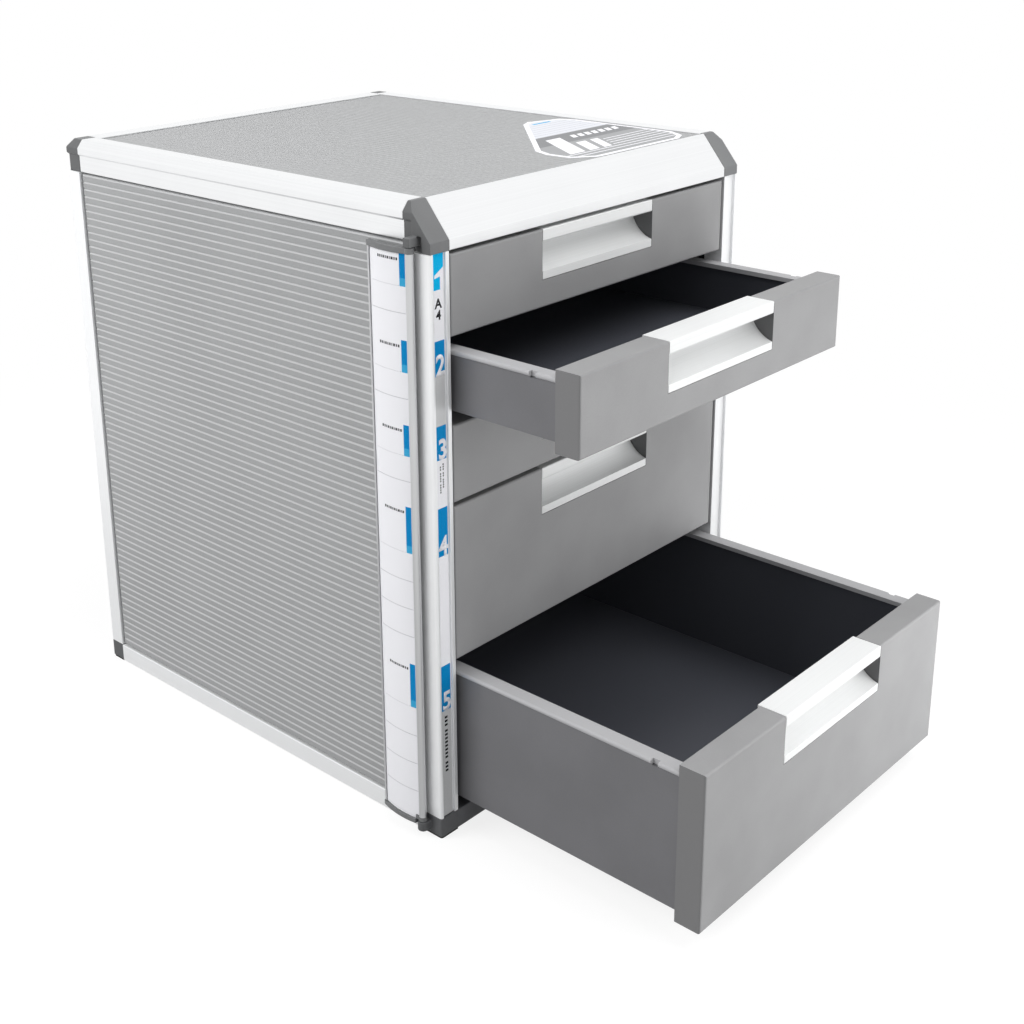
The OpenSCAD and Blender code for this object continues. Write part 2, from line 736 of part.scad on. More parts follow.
// Tray: open box with a rim on three sides. Its front wall lies against the front.
module drawer_tray(k) {
    h = drawer_h[k - 1];
    depth = tray_rear_y - front_back_y;
    rim_z = h - rim_drop;
    notch_x = handle_w / 2 + 2;
    color(frame_grey) place_drawer(k) difference() {
        union() {
            difference() {
                block([-tray_half_w, 0, tray_lift], [tray_half_w, depth - 0.4, rim_z - rim_t / 2]);
                block([-tray_half_w + tray_wall, tray_wall, tray_lift + tray_wall],
                    [tray_half_w - tray_wall, depth - 0.4 - tray_wall, h]);
            }
            for (s = [0, 1]) mirror([s, 0, 0]) bar_y(0, depth) tray_rim_section(rim_z);
            block([-rim_in_half_w - 1, depth - 9.9, rim_z - rim_t], [rim_in_half_w + 1, depth, rim_z]);
            block([-rim_in_half_w - 1, 0, rim_z - rim_t], [rim_in_half_w + 1, tray_wall, rim_z]);
        }
        for (s = [0, 1]) mirror([s, 0, 0]) {
            block([-rim_half_w - 1, notch_from_front, rim_z - rim_t - 1],
                [-rim_half_w + notch_in, notch_from_front + notch_len, rim_z + 1]);
        }
        block([-notch_x, -1, h - handle_drop - 2], [notch_x, tray_wall + 1, h]);
        for (p = screw_spots(h)) {
            translate([p[0], tray_wall + 1, p[1]]) rotate([90, 0, 0])
                cylinder(r = screw_bore_r, h = tray_wall + 2);
        }
    }
}
module tray_rim_section(rim_z) {
    rect([-rim_half_w + rim_r, rim_z - rim_t], [-rim_in_half_w, rim_z]);
    translate([-rim_half_w + rim_r, rim_z - rim_r]) circle(rim_r);
}
// Handle: one extrusion with a top flange, a front lip, a scoop and a low lip
module drawer_handle(k) {
    h = drawer_h[k - 1];
    color(silver) place_drawer(k) translate([0, -front_t, h]) bar_x(-handle_w / 2, handle_w / 2)
        handle_section();
}
module handle_section() {
    back_r = scoop_r + handle_wall;
    back_d = scoop_c[0] + back_r;
    rect([0.6, -handle_top_t], [handle_flange_d, 0]);
    difference() {
        corner_top(handle_lip_t, handle_lip_h, 0.8);
        rect([handle_lip_t, -handle_lip_h - 1], [handle_lip_t + 5, -handle_top_t]);
    }
    intersection() {
        translate(scoop_c) difference() {
            circle(back_r);
            circle(scoop_r);
        }
        rect([0, -scoop_low - 2], [back_d + 1, scoop_c[1]]);
    }
    rect([back_d - handle_wall, scoop_c[1] - eps], [back_d, -eps]);
    rect([0, -handle_drop], [handle_wall, -scoop_low]);
    rect([handle_foot_d, -handle_drop - handle_gap], [handle_foot_d + handle_wall, -scoop_low + 1.5]);
}
// Front lip: rounded at its top front corner and along its lower edge
module corner_top(t, drop, r) {
    rect([0, -drop + t / 2], [t, -r]);
    rect([r, -drop + t / 2], [t, 0]);
    translate([r, -r]) circle(r);
    translate([t / 2, -drop + t / 2]) circle(t / 2);
}
module drawer_screws(k) {
    color(silver) place_drawer(k) for (p = screw_spots(drawer_h[k - 1])) {
        translate([p[0], tray_wall, p[1]]) rotate([90, 0, 0]) cylinder(r = screw_r, h = screw_len - 0.5);
        translate([p[0], tray_wall + screw_head_t, p[1]]) rotate([90, 0, 0])
            cylinder(r = screw_head_r, h = screw_head_t);
    }
}

module right() { mirror([1, 0, 0]) children(); }

top_panel();
left_panel();  // left_side_panel
right() left_panel();  // right_side_panel
rear_panel();
bottom_panel();
top_front_profile();
top_rear_profile();
left_profile();  // top_left_profile
right() left_profile();  // top_right_profile
left_front_post();  // front_left_post
right() left_front_post();  // front_right_post
left_rear_post();  // rear_left_post
right() left_rear_post();  // rear_right_post
bottom_front_rail();
bottom_rear_rail();
left_rail();  // bottom_left_rail
right() left_rail();  // bottom_right_rail
front_left_cap();
right() color(frame_grey) front_cap();  // front_right_cap
rear_cap();  // rear_left_cap
right() rear_cap();  // rear_right_cap
front_left_foot();
right() color(frame_grey) front_foot();  // front_right_foot
rear_foot();  // rear_left_foot
right() rear_foot();  // rear_right_foot
foot_soles();
left_runner_panel();
right() left_runner_panel();  // right_runner_panel
number_strip();
number_strip_window();
top_label();
index_plate();
index_card();
index_window();
index_top_cap();
index_bottom_cap();
drawer_front(1);  // drawer_1_front
drawer_tray(1);  // drawer_1_tray
drawer_handle(1);  // drawer_1_handle
drawer_screws(1);  // drawer_1_screws
drawer_front(2);  // drawer_2_front
drawer_tray(2);  // drawer_2_tray
drawer_handle(2);  // drawer_2_handle
drawer_screws(2);  // drawer_2_screws
drawer_front(3);  // drawer_3_front
drawer_tray(3);  // drawer_3_tray
drawer_handle(3);  // drawer_3_handle
drawer_screws(3);  // drawer_3_screws
drawer_front(4);  // drawer_4_front
drawer_tray(4);  // drawer_4_tray
drawer_handle(4);  // drawer_4_handle
drawer_screws(4);  // drawer_4_screws
drawer_front(5);  // drawer_5_front
drawer_tray(5);  // drawer_5_tray
drawer_handle(5);  // drawer_5_handle
drawer_screws(5);  // drawer_5_screws
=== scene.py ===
"""Finishes, prints and studio for a five-drawer A4 desktop cabinet.

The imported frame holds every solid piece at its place. This script gives each one its finish, lays
the prints on the number strip, the index card and the label, and sets up the studio.
"""

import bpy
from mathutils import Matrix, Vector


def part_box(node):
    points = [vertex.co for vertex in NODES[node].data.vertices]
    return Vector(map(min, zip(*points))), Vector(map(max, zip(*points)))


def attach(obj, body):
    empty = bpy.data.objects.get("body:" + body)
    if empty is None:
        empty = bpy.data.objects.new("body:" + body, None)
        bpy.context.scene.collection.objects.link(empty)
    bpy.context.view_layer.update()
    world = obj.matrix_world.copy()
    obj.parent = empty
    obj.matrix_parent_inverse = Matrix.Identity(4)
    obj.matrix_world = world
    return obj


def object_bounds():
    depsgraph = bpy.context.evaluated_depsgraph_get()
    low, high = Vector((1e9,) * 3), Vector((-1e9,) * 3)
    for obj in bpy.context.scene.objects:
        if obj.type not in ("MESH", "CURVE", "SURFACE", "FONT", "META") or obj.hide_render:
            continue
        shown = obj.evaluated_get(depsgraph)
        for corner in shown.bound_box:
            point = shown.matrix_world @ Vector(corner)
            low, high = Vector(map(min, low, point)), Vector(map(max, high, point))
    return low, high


bl_info = {
    "name": "Desktop Drawer Cabinet",
    "version": (1, 0, 0),
    "blender": (4, 5, 0),
    "location": "View3D > Sidebar > Cabinet",
    "description": "Finishes and prints of a five-drawer A4 desktop cabinet, and its studio",
    "category": "Object",
}

import math
from typing import Callable, NamedTuple

import bmesh
import bpy
from bpy.props import FloatProperty, FloatVectorProperty, IntProperty, PointerProperty
from bpy.types import NodeSocket, Operator, Panel, PropertyGroup
from mathutils import Vector

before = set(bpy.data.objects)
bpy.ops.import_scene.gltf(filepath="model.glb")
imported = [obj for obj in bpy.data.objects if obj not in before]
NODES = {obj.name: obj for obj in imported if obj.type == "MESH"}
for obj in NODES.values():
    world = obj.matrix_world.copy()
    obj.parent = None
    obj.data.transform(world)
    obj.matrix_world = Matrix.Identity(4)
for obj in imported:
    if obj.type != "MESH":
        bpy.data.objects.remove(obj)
CAD_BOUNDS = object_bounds()
MM = 0.001
# How far the floor lies under the soles
FLOOR_GAP = 0.2 * MM
# How far the camera sees, in metres
CAMERA_REACH = 100

# Rounding of edges: the distance at which two points become one, how far a flat face may bend, the
# angle from which an edge is rounded, and how much the large faces decide the shading, of 100
SAME_POINT = 0.001 * MM
FLAT_ANGLE = math.radians(0.3)
SHARP_ANGLE = math.radians(35)
SHADING_WEIGHT = 100

# Most values of a noise texture lie between these two
NOISE_SPREAD = {"From Min": 0.34, "From Max": 0.66}
# How far the roughness drifts either way over a moulding or an extrusion
ROUGHNESS_DRIFT = 0.05
# How dark the flecks of a grained surface are, as a part of the colour round them
FLECK = 0.93
# How far up a board's face turns where the painted highlight on the ledges between flutes starts, and is
# full
LEDGE_HIGHLIGHT_RISE = {"From Min": 0.3, "From Max": 0.45}
# How metallic an extrusion looks: the deeper its etch, the more it scatters light like a matt surface
PROFILE_METALLIC = 1.0
POST_METALLIC = 0.4
HANDLE_METALLIC = 0.3
# Roughness of a handle, which is etched deeper than the frame
HANDLE_ROUGHNESS = 0.45

# Bounds of the painted shade inside a tray and of the painted light on its rim
# Just under the thickness of a tray's floor, and just over that of its rim
TRAY_FLOOR = 2.3 * MM
TRAY_RIM = 3.1 * MM
# From the edge of a tray's rim to just outside the inner face of its wall
TRAY_SIDE = 3.7 * MM

# Share of a face's direction that points to the left or the right, from which it counts as a side with
# painted shade
SIDE_TURN = 0.7
# The same share for the curved index card, from which a face belongs to its outer side
CARD_TURN = 0.5
# How far the ends of a handle's notch may lie beyond the ends of the handle
NOTCH_SLACK = 2 * MM
# How far under the top of the label a corner of its top face may lie
LABEL_SLACK = 0.2 * MM

DRAWERS = range(1, 6)
# A front lower than this belongs to a shallow drawer
SHALLOW_LIMIT = 60 * MM
DRAWER_TOPS = [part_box(f"drawer_{k}_front")[1].z for k in DRAWERS]

# Offset that makes the outline of a character bold, as a part of its size
CHARACTER_BOLD = 0.03
# Outline of the bold 1, as parts of its width and height from its lower right corner
NUMERAL_ONE = ((-0.37, 0), (0, 0), (0, 1), (-1, 0.67), (-1, 0.53), (-0.37, 0.59))
# The paper size printed under the first block: height of a character, drop to the foot of the upper
# one, and from there to the foot of the lower one
STRIP_FORMAT_SIZE = 5.8 * MM
STRIP_FORMAT_DROP = 10.6 * MM
STRIP_FORMAT_STEP = 1.15 * STRIP_FORMAT_SIZE
# Small print above each bar of the index card: widths of its words, gap between them, start beside
# the bar, drop from the bar's top to its foot, and height
CARD_WORDS = [word * MM for word in (1.1, 0.9, 1.5, 0.7, 1.2, 0.8, 1.3, 0.7, 1.0, 1.2)]
CARD_WORD_GAP = 0.6 * MM
CARD_PRINT_START = 1.2 * MM
CARD_PRINT_DROP = 4.6 * MM
CARD_PRINT_HEIGHT = 1.6 * MM
# Writing rows on the index card for a shallow and a deep drawer
SHALLOW_ROWS, DEEP_ROWS = 2, 4
# Length of a dash of a dotted line on the card, in widths of a line
CARD_DASH = 3
# Height of the dark band across the label, and distance from one of its lines to the next
LABEL_BAND = 24 * MM
LABEL_ROW = 5.6 * MM
# Rows of its thin lines at the rear, and at the front its rows of full lines and of short ones
LABEL_REAR_ROWS = range(1, 7)
LABEL_FULL_ROWS = (1, 2)
LABEL_SHORT_ROWS = (3, 4, 5, 6)
# Pale blue dash: its place from the label's far corner, and its size
LABEL_DASH_PLACE = Vector((38, 12)) * MM
LABEL_DASH = Vector((19, 2.4)) * MM
# The slanted bars: start, width and rise of each, their lean, and the row that they stand on
LABEL_BARS = [[size * MM for size in bar] for bar in ((20, 15, 45), (40, 10, 25), (55, 8, 25))]
LABEL_LEAN = 0.64
LABEL_BAR_ROW = 2.6
# Where the slanted edge at which the short lines start meets that row
LABEL_SHORT_START = 66 * MM
# The small slanted blocks on the band: how many, start and step, width and rise, and how far their
# feet lie before the start of the rear field
LABEL_BLOCKS = 7
LABEL_BLOCK_START, LABEL_BLOCK_STEP = 70 * MM, 7.5 * MM
LABEL_BLOCK = Vector((5, 8)) * MM
LABEL_BLOCK_DROP = 17 * MM


class Column(NamedTuple):
    """A column of small print on the number strip, under the block of a drawer. left is a part of
    the strip's width, and words holds how many dashes each word has."""

    drawer: int
    left: float
    width: float
    drop: float
    words: tuple
    dash: float
    gap: float


STRIP_COLUMNS = (
    Column(drawer=3, left=0.62, width=0.9 * MM, drop=2.6 * MM, words=(3, 2, 4),
           dash=1 * MM, gap=0.5 * MM),
    Column(drawer=3, left=0.36, width=0.9 * MM, drop=4 * MM, words=(2, 4, 4),
           dash=1 * MM, gap=0.5 * MM),
    Column(drawer=5, left=0.36, width=2.436 * MM, drop=4 * MM, words=(3, 8, 3),
           dash=1.5 * MM, gap=1.1 * MM),
)


def is_shallow(k):
    """Whether drawer k is one of the shallow ones."""
    low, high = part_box(f"drawer_{k}_front")
    return high.z - low.z < SHALLOW_LIMIT


# ---- Values that a user would change ----

def linear(hex_colour):
    """Scene-linear red, green and blue of an sRGB hex colour."""
    channels = [int(hex_colour[i:i + 2], 16) / 255 for i in (1, 3, 5)]
    return [c / 12.92 if c <= 0.04045 else ((c + 0.055) / 1.055) ** 2.4 for c in channels]


def colour(name, description, hex_colour):
    """A colour property whose default is written as sRGB hex."""
    return FloatVectorProperty(name=name, description=description, subtype="COLOR", size=3,
                               min=0, max=1, default=linear(hex_colour))


def length(name, description, millimetres):
    """A length property whose default is written in millimetres."""
    return FloatProperty(name=name, description=description, subtype="DISTANCE", unit="LENGTH",
                         precision=5, min=0, default=millimetres * MM)


def share(name, description, default):
    """A property from 0 to 1."""
    return FloatProperty(name=name, description=description, subtype="FACTOR", min=0, max=1,
                         default=default)


def position(name, description, metres):
    """The property of a place, in metres."""
    return FloatVectorProperty(name=name, description=description, subtype="TRANSLATION",
                               unit="LENGTH", default=metres)


def lamp_power(name, description, watts):
    """The property of a lamp's power."""
    return FloatProperty(name=name, description=description, unit="POWER", min=0, default=watts)


class CabinetColours(PropertyGroup):
    """Colours of the mouldings, boards, metal and inks"""

    board: colour("Boards", "Silver-grey lacquer on the fluted boards", "#9FA0A1")
    # Painted highlight: the ledges between the flutes, which face up, are painted paler than the bands
    ledge_highlight: colour("Ledges", "The same lacquer on the ledges between the flutes", "#C0C1C2")
    # Painted light: the top board is painted a shade lighter than the other boards, for the light from
    # above
    top_board_painted_light: colour("Top board", "The same lacquer, as it lies on the top board", "#A2A3A4")
    front: colour("Drawer fronts", "Moulded ABS of the drawer fronts", "#969697")
    # Painted shade: the ends of the fronts, and darker still the ends of the handle's notch
    front_end_shade: colour("Front ends", "The same ABS on the ends of the fronts", "#777778")
    notch: colour("Notch ends", "The same ABS on the ends of the handle's notch", "#5C5C5D")
    tray: colour("Trays outside", "Moulded ABS of the outside of the trays", "#707073")
    # Painted light on the tray rims, and painted shade inside the trays
    tray_rim_painted_light: colour("Tray rims", "The same ABS on the flat rims of the trays", "#AEAEB0")
    tray_inside_painted_shade: colour("Trays inside", "Charcoal inside of the trays", "#4C4E55")
    corner: colour("Corner caps", "Glass-filled nylon of the caps", "#747576")
    # Painted shade: the side faces of the caps are painted darker
    corner_side_shade: colour("Sides of the caps", "The same nylon on the side faces of the caps", "#5C5D5E")
    foot: colour("Feet", "Glass-filled nylon of the feet", "#58595B")
    index_cap: colour("Index plate caps", "Moulded end caps of the index plate", "#767778")
    dark_rail: colour("Front rail", "Dark nylon of the rail under the drawers", "#5C5D60")
    runner: colour("Runners", "Black polypropylene of the runner panels", "#1B1B1C")
    aluminium: colour("Profiles, posts and rails", "Anodised aluminium of the frame", "#FAFBFC")
    index_plate: colour("Index plate", "Anodised aluminium of the index plate", "#D4D5D6")
    handle: colour("Handles", "Anodised aluminium of the handles", "#F1F2F2")
    card: colour("Card", "White card of the strip, the index card and the label", "#FBFBFF")
    blue: colour("Blue ink", "Index blocks and bars", "#008CCE")
    bright_blue: colour("Bright blue ink", "First index block", "#00B8F0")
    pale_blue: colour("Pale blue ink", "Lower end of each index bar", "#3FAFE0")
    silver_ink: colour("Silver ink", "Silver fields of the number strip", "#D8D9DA")
    grey_ink: colour("Grey ink", "Front field of the label", "#A6A7A9")
    dark_grey_ink: colour("Dark grey ink", "Band across the label", "#8B8C8E")
    pale_ink: colour("Pale ink", "Rear field of the label", "#E4E6EC")
    line_ink: colour("Line ink", "Thin printed lines", "#C2C2C8")
    black_ink: colour("Black ink", "Printed marks", "#2A2A2C")


class CabinetEdges(PropertyGroup):
    """How far the edges of each kind of piece are rounded"""

    corner_piece: length("Corner pieces", "Rounding of the caps and feet", 0.6)
    profile: length("Profiles", "Rounding of the top profiles", 0.6)
    post: length("Posts and rails", "Rounding of the posts and rails", 0.35)
    front: length("Drawer fronts", "Rounding of the handle notch and the back of a front", 0.4)
    tray: length("Trays", "Rounding of the trays", 0.45)
    handle: length("Handles", "Rounding of the cut ends of a handle", 0.3)
    index_cap: length("Index plate caps", "Rounding of the end caps of the index plate", 0.4)
    segments: IntProperty(name="Segments", description="Faces across each rounded edge",
                          min=1, max=6, default=3)


class CabinetPrints(PropertyGroup):
    """Sizes of what is printed"""

    ink: length("Ink layer", "Thickness of a printed layer", 0.015)
    line: length("Line", "Width of a thin printed line", 0.35)
    block_rise: length("Block rise", "How far a block starts above its drawer's front", 2.6)
    shallow_block: length("Shallow block", "Height of the block of a shallow drawer", 20.6)
    deep_block: length("Deep block", "Height of the block of a deep drawer", 30.4)
    numeral: length("Numeral", "Height of the numeral on a block", 12.6)
    numeral_one: length("First numeral", "Width of the 1 with its flag", 7.1)
    numeral_stretch: FloatProperty(
        name="Numeral stretch", description="How wide the other numerals are",
        min=0.5, max=2, default=0.88)
    bar: length("Index bar", "Width of a bar on the index card", 3.9)
    bar_margin: length("Bar margin", "Card left bare beside a bar", 1.1)
    shallow_bar: length("Shallow bar", "Height of the bar of a shallow drawer", 19)
    deep_bar: length("Deep bar", "Height of the bar of a deep drawer", 29.3)
    bar_foot: length("Bar foot", "Height of the pale lower end of a bar", 4.8)
    label_border: length("Label border", "White border of the label", 3.6)
    label_line: length("Label line", "Width of a white line on the label", 1.2)
    label_split: FloatProperty(name="Label split", description="Where the grey field of the label ends",
                               unit="LENGTH", default=-79 * MM)


class CabinetStudio(PropertyGroup):
    """Camera, lamps and floor"""

    camera_place: position("Camera place", "Place of the camera", (-0.7196, -0.7311, 0.5694))
    camera_turn: FloatVectorProperty(
        name="Camera turn", description="Turn of the camera about X, Y and Z", subtype="EULER",
        unit="ROTATION", default=[math.radians(turn) for turn in (72.093, 0.784, -47.03)])
    lens: FloatProperty(name="Lens", description="Focal length in millimetres",
                        unit="CAMERA", min=10, default=53.14)
    shift_x: FloatProperty(name="Shift X", description="Sideways shift of the lens", default=0.05)
    shift_y: FloatProperty(name="Shift Y", description="Upward shift of the lens", default=-0.15)
    key_place: position("Key lamp place", "Place of the high soft lamp at the front", (0.35, -0.98, 1.85))
    key_size: length("Key lamp size", "Side of the high soft lamp at the front", 1500)
    key_power: lamp_power("Key lamp power", "Power of the high soft lamp at the front", 21.5)
    fill_place: position("Fill lamp place", "Place of the even lamp before the drawers", (0.1, -1.3, 0.35))
    fill_size: length("Fill lamp size", "Side of the even lamp before the drawers", 800)
    fill_power: lamp_power("Fill lamp power", "Power of the even lamp before the drawers", 3.6)
    low_place: position("Low lamp place", "Place of the small lamp low at the front", (0.25, -0.63, 0.03))
    low_size: length("Low lamp size", "Side of the small lamp low at the front", 300)
    low_power: lamp_power("Low lamp power", "Power of the small lamp low at the front", 1.6)
    side_place: position("Side lamp place", "Place of the soft lamp at the left", (-1.3, 0.6, 1.1))
    side_size: length("Side lamp size", "Side of the soft lamp at the left", 1000)
    side_power: lamp_power("Side lamp power", "Power of the soft lamp at the left", 20)
    sky: share("Sky", "Light of the white room on matt surfaces", 0.4)
    floor_half: length("Floor", "Half the side of the floor", 12000)
    floor_bounce: share("Floor bounce", "How much light the floor throws back on the cabinet", 0.48)
    floor_matt: share("Floor matt part", "Part of the floor's white that shows a shadow", 0.22)
    floor_glow: share("Floor glow", "Part of the floor's white that shows no shadow", 0.82)
    floor_mirrored: share("Floor mirrored", "The same part where the floor shows in metal", 0.4)
    floor_near: length("Floor near", "Distance at which the floor starts to turn plain white", 350)
    floor_far: length("Floor far", "Distance from which the floor is plain white", 900)


class CabinetSettings(PropertyGroup):
    """All the settings of the cabinet"""

    colours: PointerProperty(type=CabinetColours)
    edges: PointerProperty(type=CabinetEdges)
    prints: PointerProperty(type=CabinetPrints)
    studio: PointerProperty(type=CabinetStudio)


# ---- Materials ----

def add_node(tree, kind, feeds=None, **settings):
    """Add one node. feeds maps an input's name or number to a value or to the output it takes."""
    node = tree.nodes.new(kind)
    for name, value in settings.items():
        setattr(node, name, value)
    for key, value in (feeds or {}).items():
        if isinstance(value, NodeSocket):
            tree.links.new(value, node.inputs[key])
        else:
            node.inputs[key].default_value = value
    return node


def start_material(name, **sockets):
    """A new material with its Principled shader's own sockets set."""
    material = bpy.data.materials.new(name)
    material.use_nodes = True
    shader = material.node_tree.nodes["Principled BSDF"]
    for socket, value in sockets.items():
        shader.inputs[socket.replace("_", " ")].default_value = value
    return material, material.node_tree, shader


def tinted(rgb, factor):
    """The colour times a factor, as red, green, blue and alpha."""
    return [min(c * factor, 1) for c in rgb] + [1]


def surface_relief(tree, shader, texture, depth_mm, strength):
    """Raise the surface by a texture's value, depth_mm at its highest."""
    bump = add_node(tree, "ShaderNodeBump",
                    {"Height": texture, "Distance": depth_mm * MM, "Strength": strength})
    tree.links.new(bump.outputs["Normal"], shader.inputs["Normal"])


def vary_roughness(tree, shader, noise, start, end):
    """Let the roughness go from start to end as a noise rises."""
    drift = add_node(tree, "ShaderNodeMapRange",
                     {"Value": noise, **NOISE_SPREAD, "To Min": start, "To Max": end})
    tree.links.new(drift.outputs["Result"], shader.inputs["Roughness"])


def mottled(tree, noise, dark, pale):
    """A colour that goes from dark to pale as a noise rises."""
    amount = add_node(tree, "ShaderNodeMapRange", {"Value": noise, **NOISE_SPREAD}).outputs["Result"]
    return add_node(tree, "ShaderNodeMix", {0: amount, 6: dark, 7: pale}, data_type="RGBA").outputs[2]


def flecked(tree, noise, paint):
    """The colour paint with small darker flecks where a noise is low."""
    fleck = mottled(tree, noise, [FLECK] * 3 + [1], (1, 1, 1, 1))
    return add_node(tree, "ShaderNodeMix", {0: 1.0, 6: paint, 7: fleck},
                    data_type="RGBA", blend_type="MULTIPLY").outputs[2]


def repaint(material, where, paint):
    """Give a material another colour where a value is 1."""
    tree = material.node_tree
    colour_socket = tree.nodes["Principled BSDF"].inputs["Base Color"]
    covered = colour_socket.links[0].from_socket
    mixed = add_node(tree, "ShaderNodeMix", {0: where, 6: covered, 7: paint}, data_type="RGBA")
    tree.links.new(mixed.outputs[2], colour_socket)


def moulded_plastic(name, rgb, grain_mm, grain_depth_mm, roughness, clouds=0.05):
    """Plastic injection moulded in an eroded tool. A fine even grain, drawn coarser than a real one
    so that it shows, spreads the highlight. Faint wide clouds show where the melt cooled unevenly."""
    material, tree, shader = start_material(name, IOR=1.5)
    place = add_node(tree, "ShaderNodeTexCoord").outputs["Object"]
    grain = add_node(tree, "ShaderNodeTexNoise", {
        "Vector": place, "Scale": 1 / (grain_mm * MM), "Detail": 2.0}).outputs[0]
    cloud = add_node(tree, "ShaderNodeTexNoise", {
        "Vector": place, "Scale": 1 / (45 * MM), "Detail": 3.0}).outputs[0]
    tone = mottled(tree, cloud, tinted(rgb, 1 - clouds), tinted(rgb, 1 + clouds))
    tree.links.new(flecked(tree, grain, tone), shader.inputs["Base Color"])
    vary_roughness(tree, shader, grain, roughness - ROUGHNESS_DRIFT, roughness + ROUGHNESS_DRIFT)
    surface_relief(tree, shader, grain, grain_depth_mm, strength=0.6)
    return material


def moulded_abs(name, rgb):
    """ABS, moulded with a fine spark grain: dull, a little silky where the light grazes it."""
    return moulded_plastic(name, rgb, grain_mm=0.45, grain_depth_mm=0.02, roughness=0.46)


def glass_filled_nylon(name, rgb):
    """Glass-filled nylon, moulded: a coarser and duller skin than the ABS beside it."""
    return moulded_plastic(name, rgb, grain_mm=0.7, grain_depth_mm=0.035, roughness=0.52, clouds=0.08)


def black_polypropylene(rgb):
    """Polypropylene, moulded smooth: waxy and nearly black."""
    return moulded_plastic("black_polypropylene", rgb, grain_mm=1.2, grain_depth_mm=0.01, roughness=0.4)


def moulded_rubber():
    """Rubber, moulded: black and dull, with a rough skin."""
    return moulded_plastic("moulded_rubber", linear("#1C1C1C"),
                           grain_mm=0.6, grain_depth_mm=0.05, roughness=0.75)


def sideways_amount(tree, output):
    """How far a point lies from the middle, or how far a face turns to the left or the right."""
    vector = add_node(tree, "ShaderNodeTexCoord").outputs[output]
    x = add_node(tree, "ShaderNodeSeparateXYZ", {0: vector}).outputs["X"]
    return add_node(tree, "ShaderNodeMath", {0: x}, operation="ABSOLUTE").outputs[0]


def paint_shade_on_sides(material, paint):
    """Paint shade on a material: another colour on its faces at the left and the right."""
    painted_side_mask = add_node(material.node_tree, "ShaderNodeMath",
                       {0: sideways_amount(material.node_tree, "Normal"), 1: SIDE_TURN},
                       operation="GREATER_THAN").outputs[0]
    repaint(material, painted_side_mask, paint)


def cap_nylon(rgb, side_shade_rgb):
    """The caps' glass-filled nylon, with painted shade on the faces at the sides."""
    material = glass_filled_nylon("glass_filled_nylon_cap", rgb)
    paint_shade_on_sides(material, tinted(side_shade_rgb, 1))
    return material


def front_abs(rgb, end_shade_rgb, notch_shade_rgb, half_notch):
    """The fronts' ABS, with painted shade on its ends and darker painted shade on the ends of the handle's
    notch, which are the only open faces within half_notch of the middle that face sideways."""
    material = moulded_abs("moulded_abs", rgb)
    tree = material.node_tree
    near = add_node(tree, "ShaderNodeMath", {0: sideways_amount(tree, "Object"), 1: half_notch},
                    operation="LESS_THAN").outputs[0]
    # Painted shade on the ends, darker on the ends of the notch
    ends = add_node(tree, "ShaderNodeMix", {0: near, 6: tinted(end_shade_rgb, 1), 7: tinted(notch_shade_rgb, 1)},
                    data_type="RGBA").outputs[2]
    paint_shade_on_sides(material, ends)
    return material


def tray_abs(name, rgb, rim_light_rgb, inside_shade_rgb, low, high, wall):
    """The trays' ABS, with painted light on its rim and painted shade inside. The painted shade starts at
    the inner face of the walls, above the floor at low, and ends under the rim at high."""
    material = moulded_abs(name, rgb)
    tree = material.node_tree
    place = add_node(tree, "ShaderNodeTexCoord").outputs["Object"]
    height = add_node(tree, "ShaderNodeSeparateXYZ", {0: place}).outputs["Z"]
    above_floor = add_node(tree, "ShaderNodeMath", {0: height, 1: low},
                           operation="GREATER_THAN").outputs[0]
    under_rim = add_node(tree, "ShaderNodeMath", {0: height, 1: high}, operation="LESS_THAN").outputs[0]
    # Painted light on the top of the rim
    rim_painted_light = add_node(tree, "ShaderNodeMath", {0: height, 1: high}, operation="GREATER_THAN").outputs[0]
    # Painted shade inside the tray: within the walls, above the floor and under the rim
    inside = add_node(tree, "ShaderNodeMath", {0: sideways_amount(tree, "Object"), 1: wall},
                      operation="LESS_THAN").outputs[0]
    for test in (above_floor, under_rim):
        inside = add_node(tree, "ShaderNodeMath", {0: inside, 1: test}, operation="MULTIPLY").outputs[0]
    repaint(material, rim_painted_light, tinted(rim_light_rgb, 1))
    repaint(material, inside, tinted(inside_shade_rgb, 1))
    return material


def lacquered_board(name, rgb, ledge_highlight_rgb):
    """An extruded board under silver-grey lacquer, with fine bright flakes. The ledges between its bands
    face up and are painted paler: a painted highlight of the light from above."""
    material, tree, shader = start_material(name, IOR=1.5)
    coords = add_node(tree, "ShaderNodeTexCoord").outputs
    place = coords["Object"]
    # Real flakes are under 0.1 mm; these are drawn at 0.5 mm so that they show.
    flake = add_node(tree, "ShaderNodeTexNoise", {
        "Vector": place, "Scale": 1 / (0.5 * MM), "Detail": 1.0}).outputs[0]
    cloud = add_node(tree, "ShaderNodeTexNoise", {
        "Vector": place, "Scale": 1 / (80 * MM), "Detail": 2.0}).outputs[0]
    tone = mottled(tree, cloud, tinted(rgb, 0.97), tinted(rgb, 1.03))
    # Painted highlight: faces that turn up, the ledges, take the paler colour
    rise = add_node(tree, "ShaderNodeSeparateXYZ", {0: coords["Normal"]}).outputs["Z"]
    ledge_highlight_mask = add_node(tree, "ShaderNodeMapRange", {"Value": rise, **LEDGE_HIGHLIGHT_RISE}).outputs["Result"]
    lacquer = add_node(tree, "ShaderNodeMix", {0: ledge_highlight_mask, 6: tone, 7: tinted(ledge_highlight_rgb, 1)},
                       data_type="RGBA").outputs[2]
    tree.links.new(flecked(tree, flake, lacquer), shader.inputs["Base Color"])
    vary_roughness(tree, shader, flake, start=0.5, end=0.38)
    surface_relief(tree, shader, flake, depth_mm=0.01, strength=0.4)
    return material


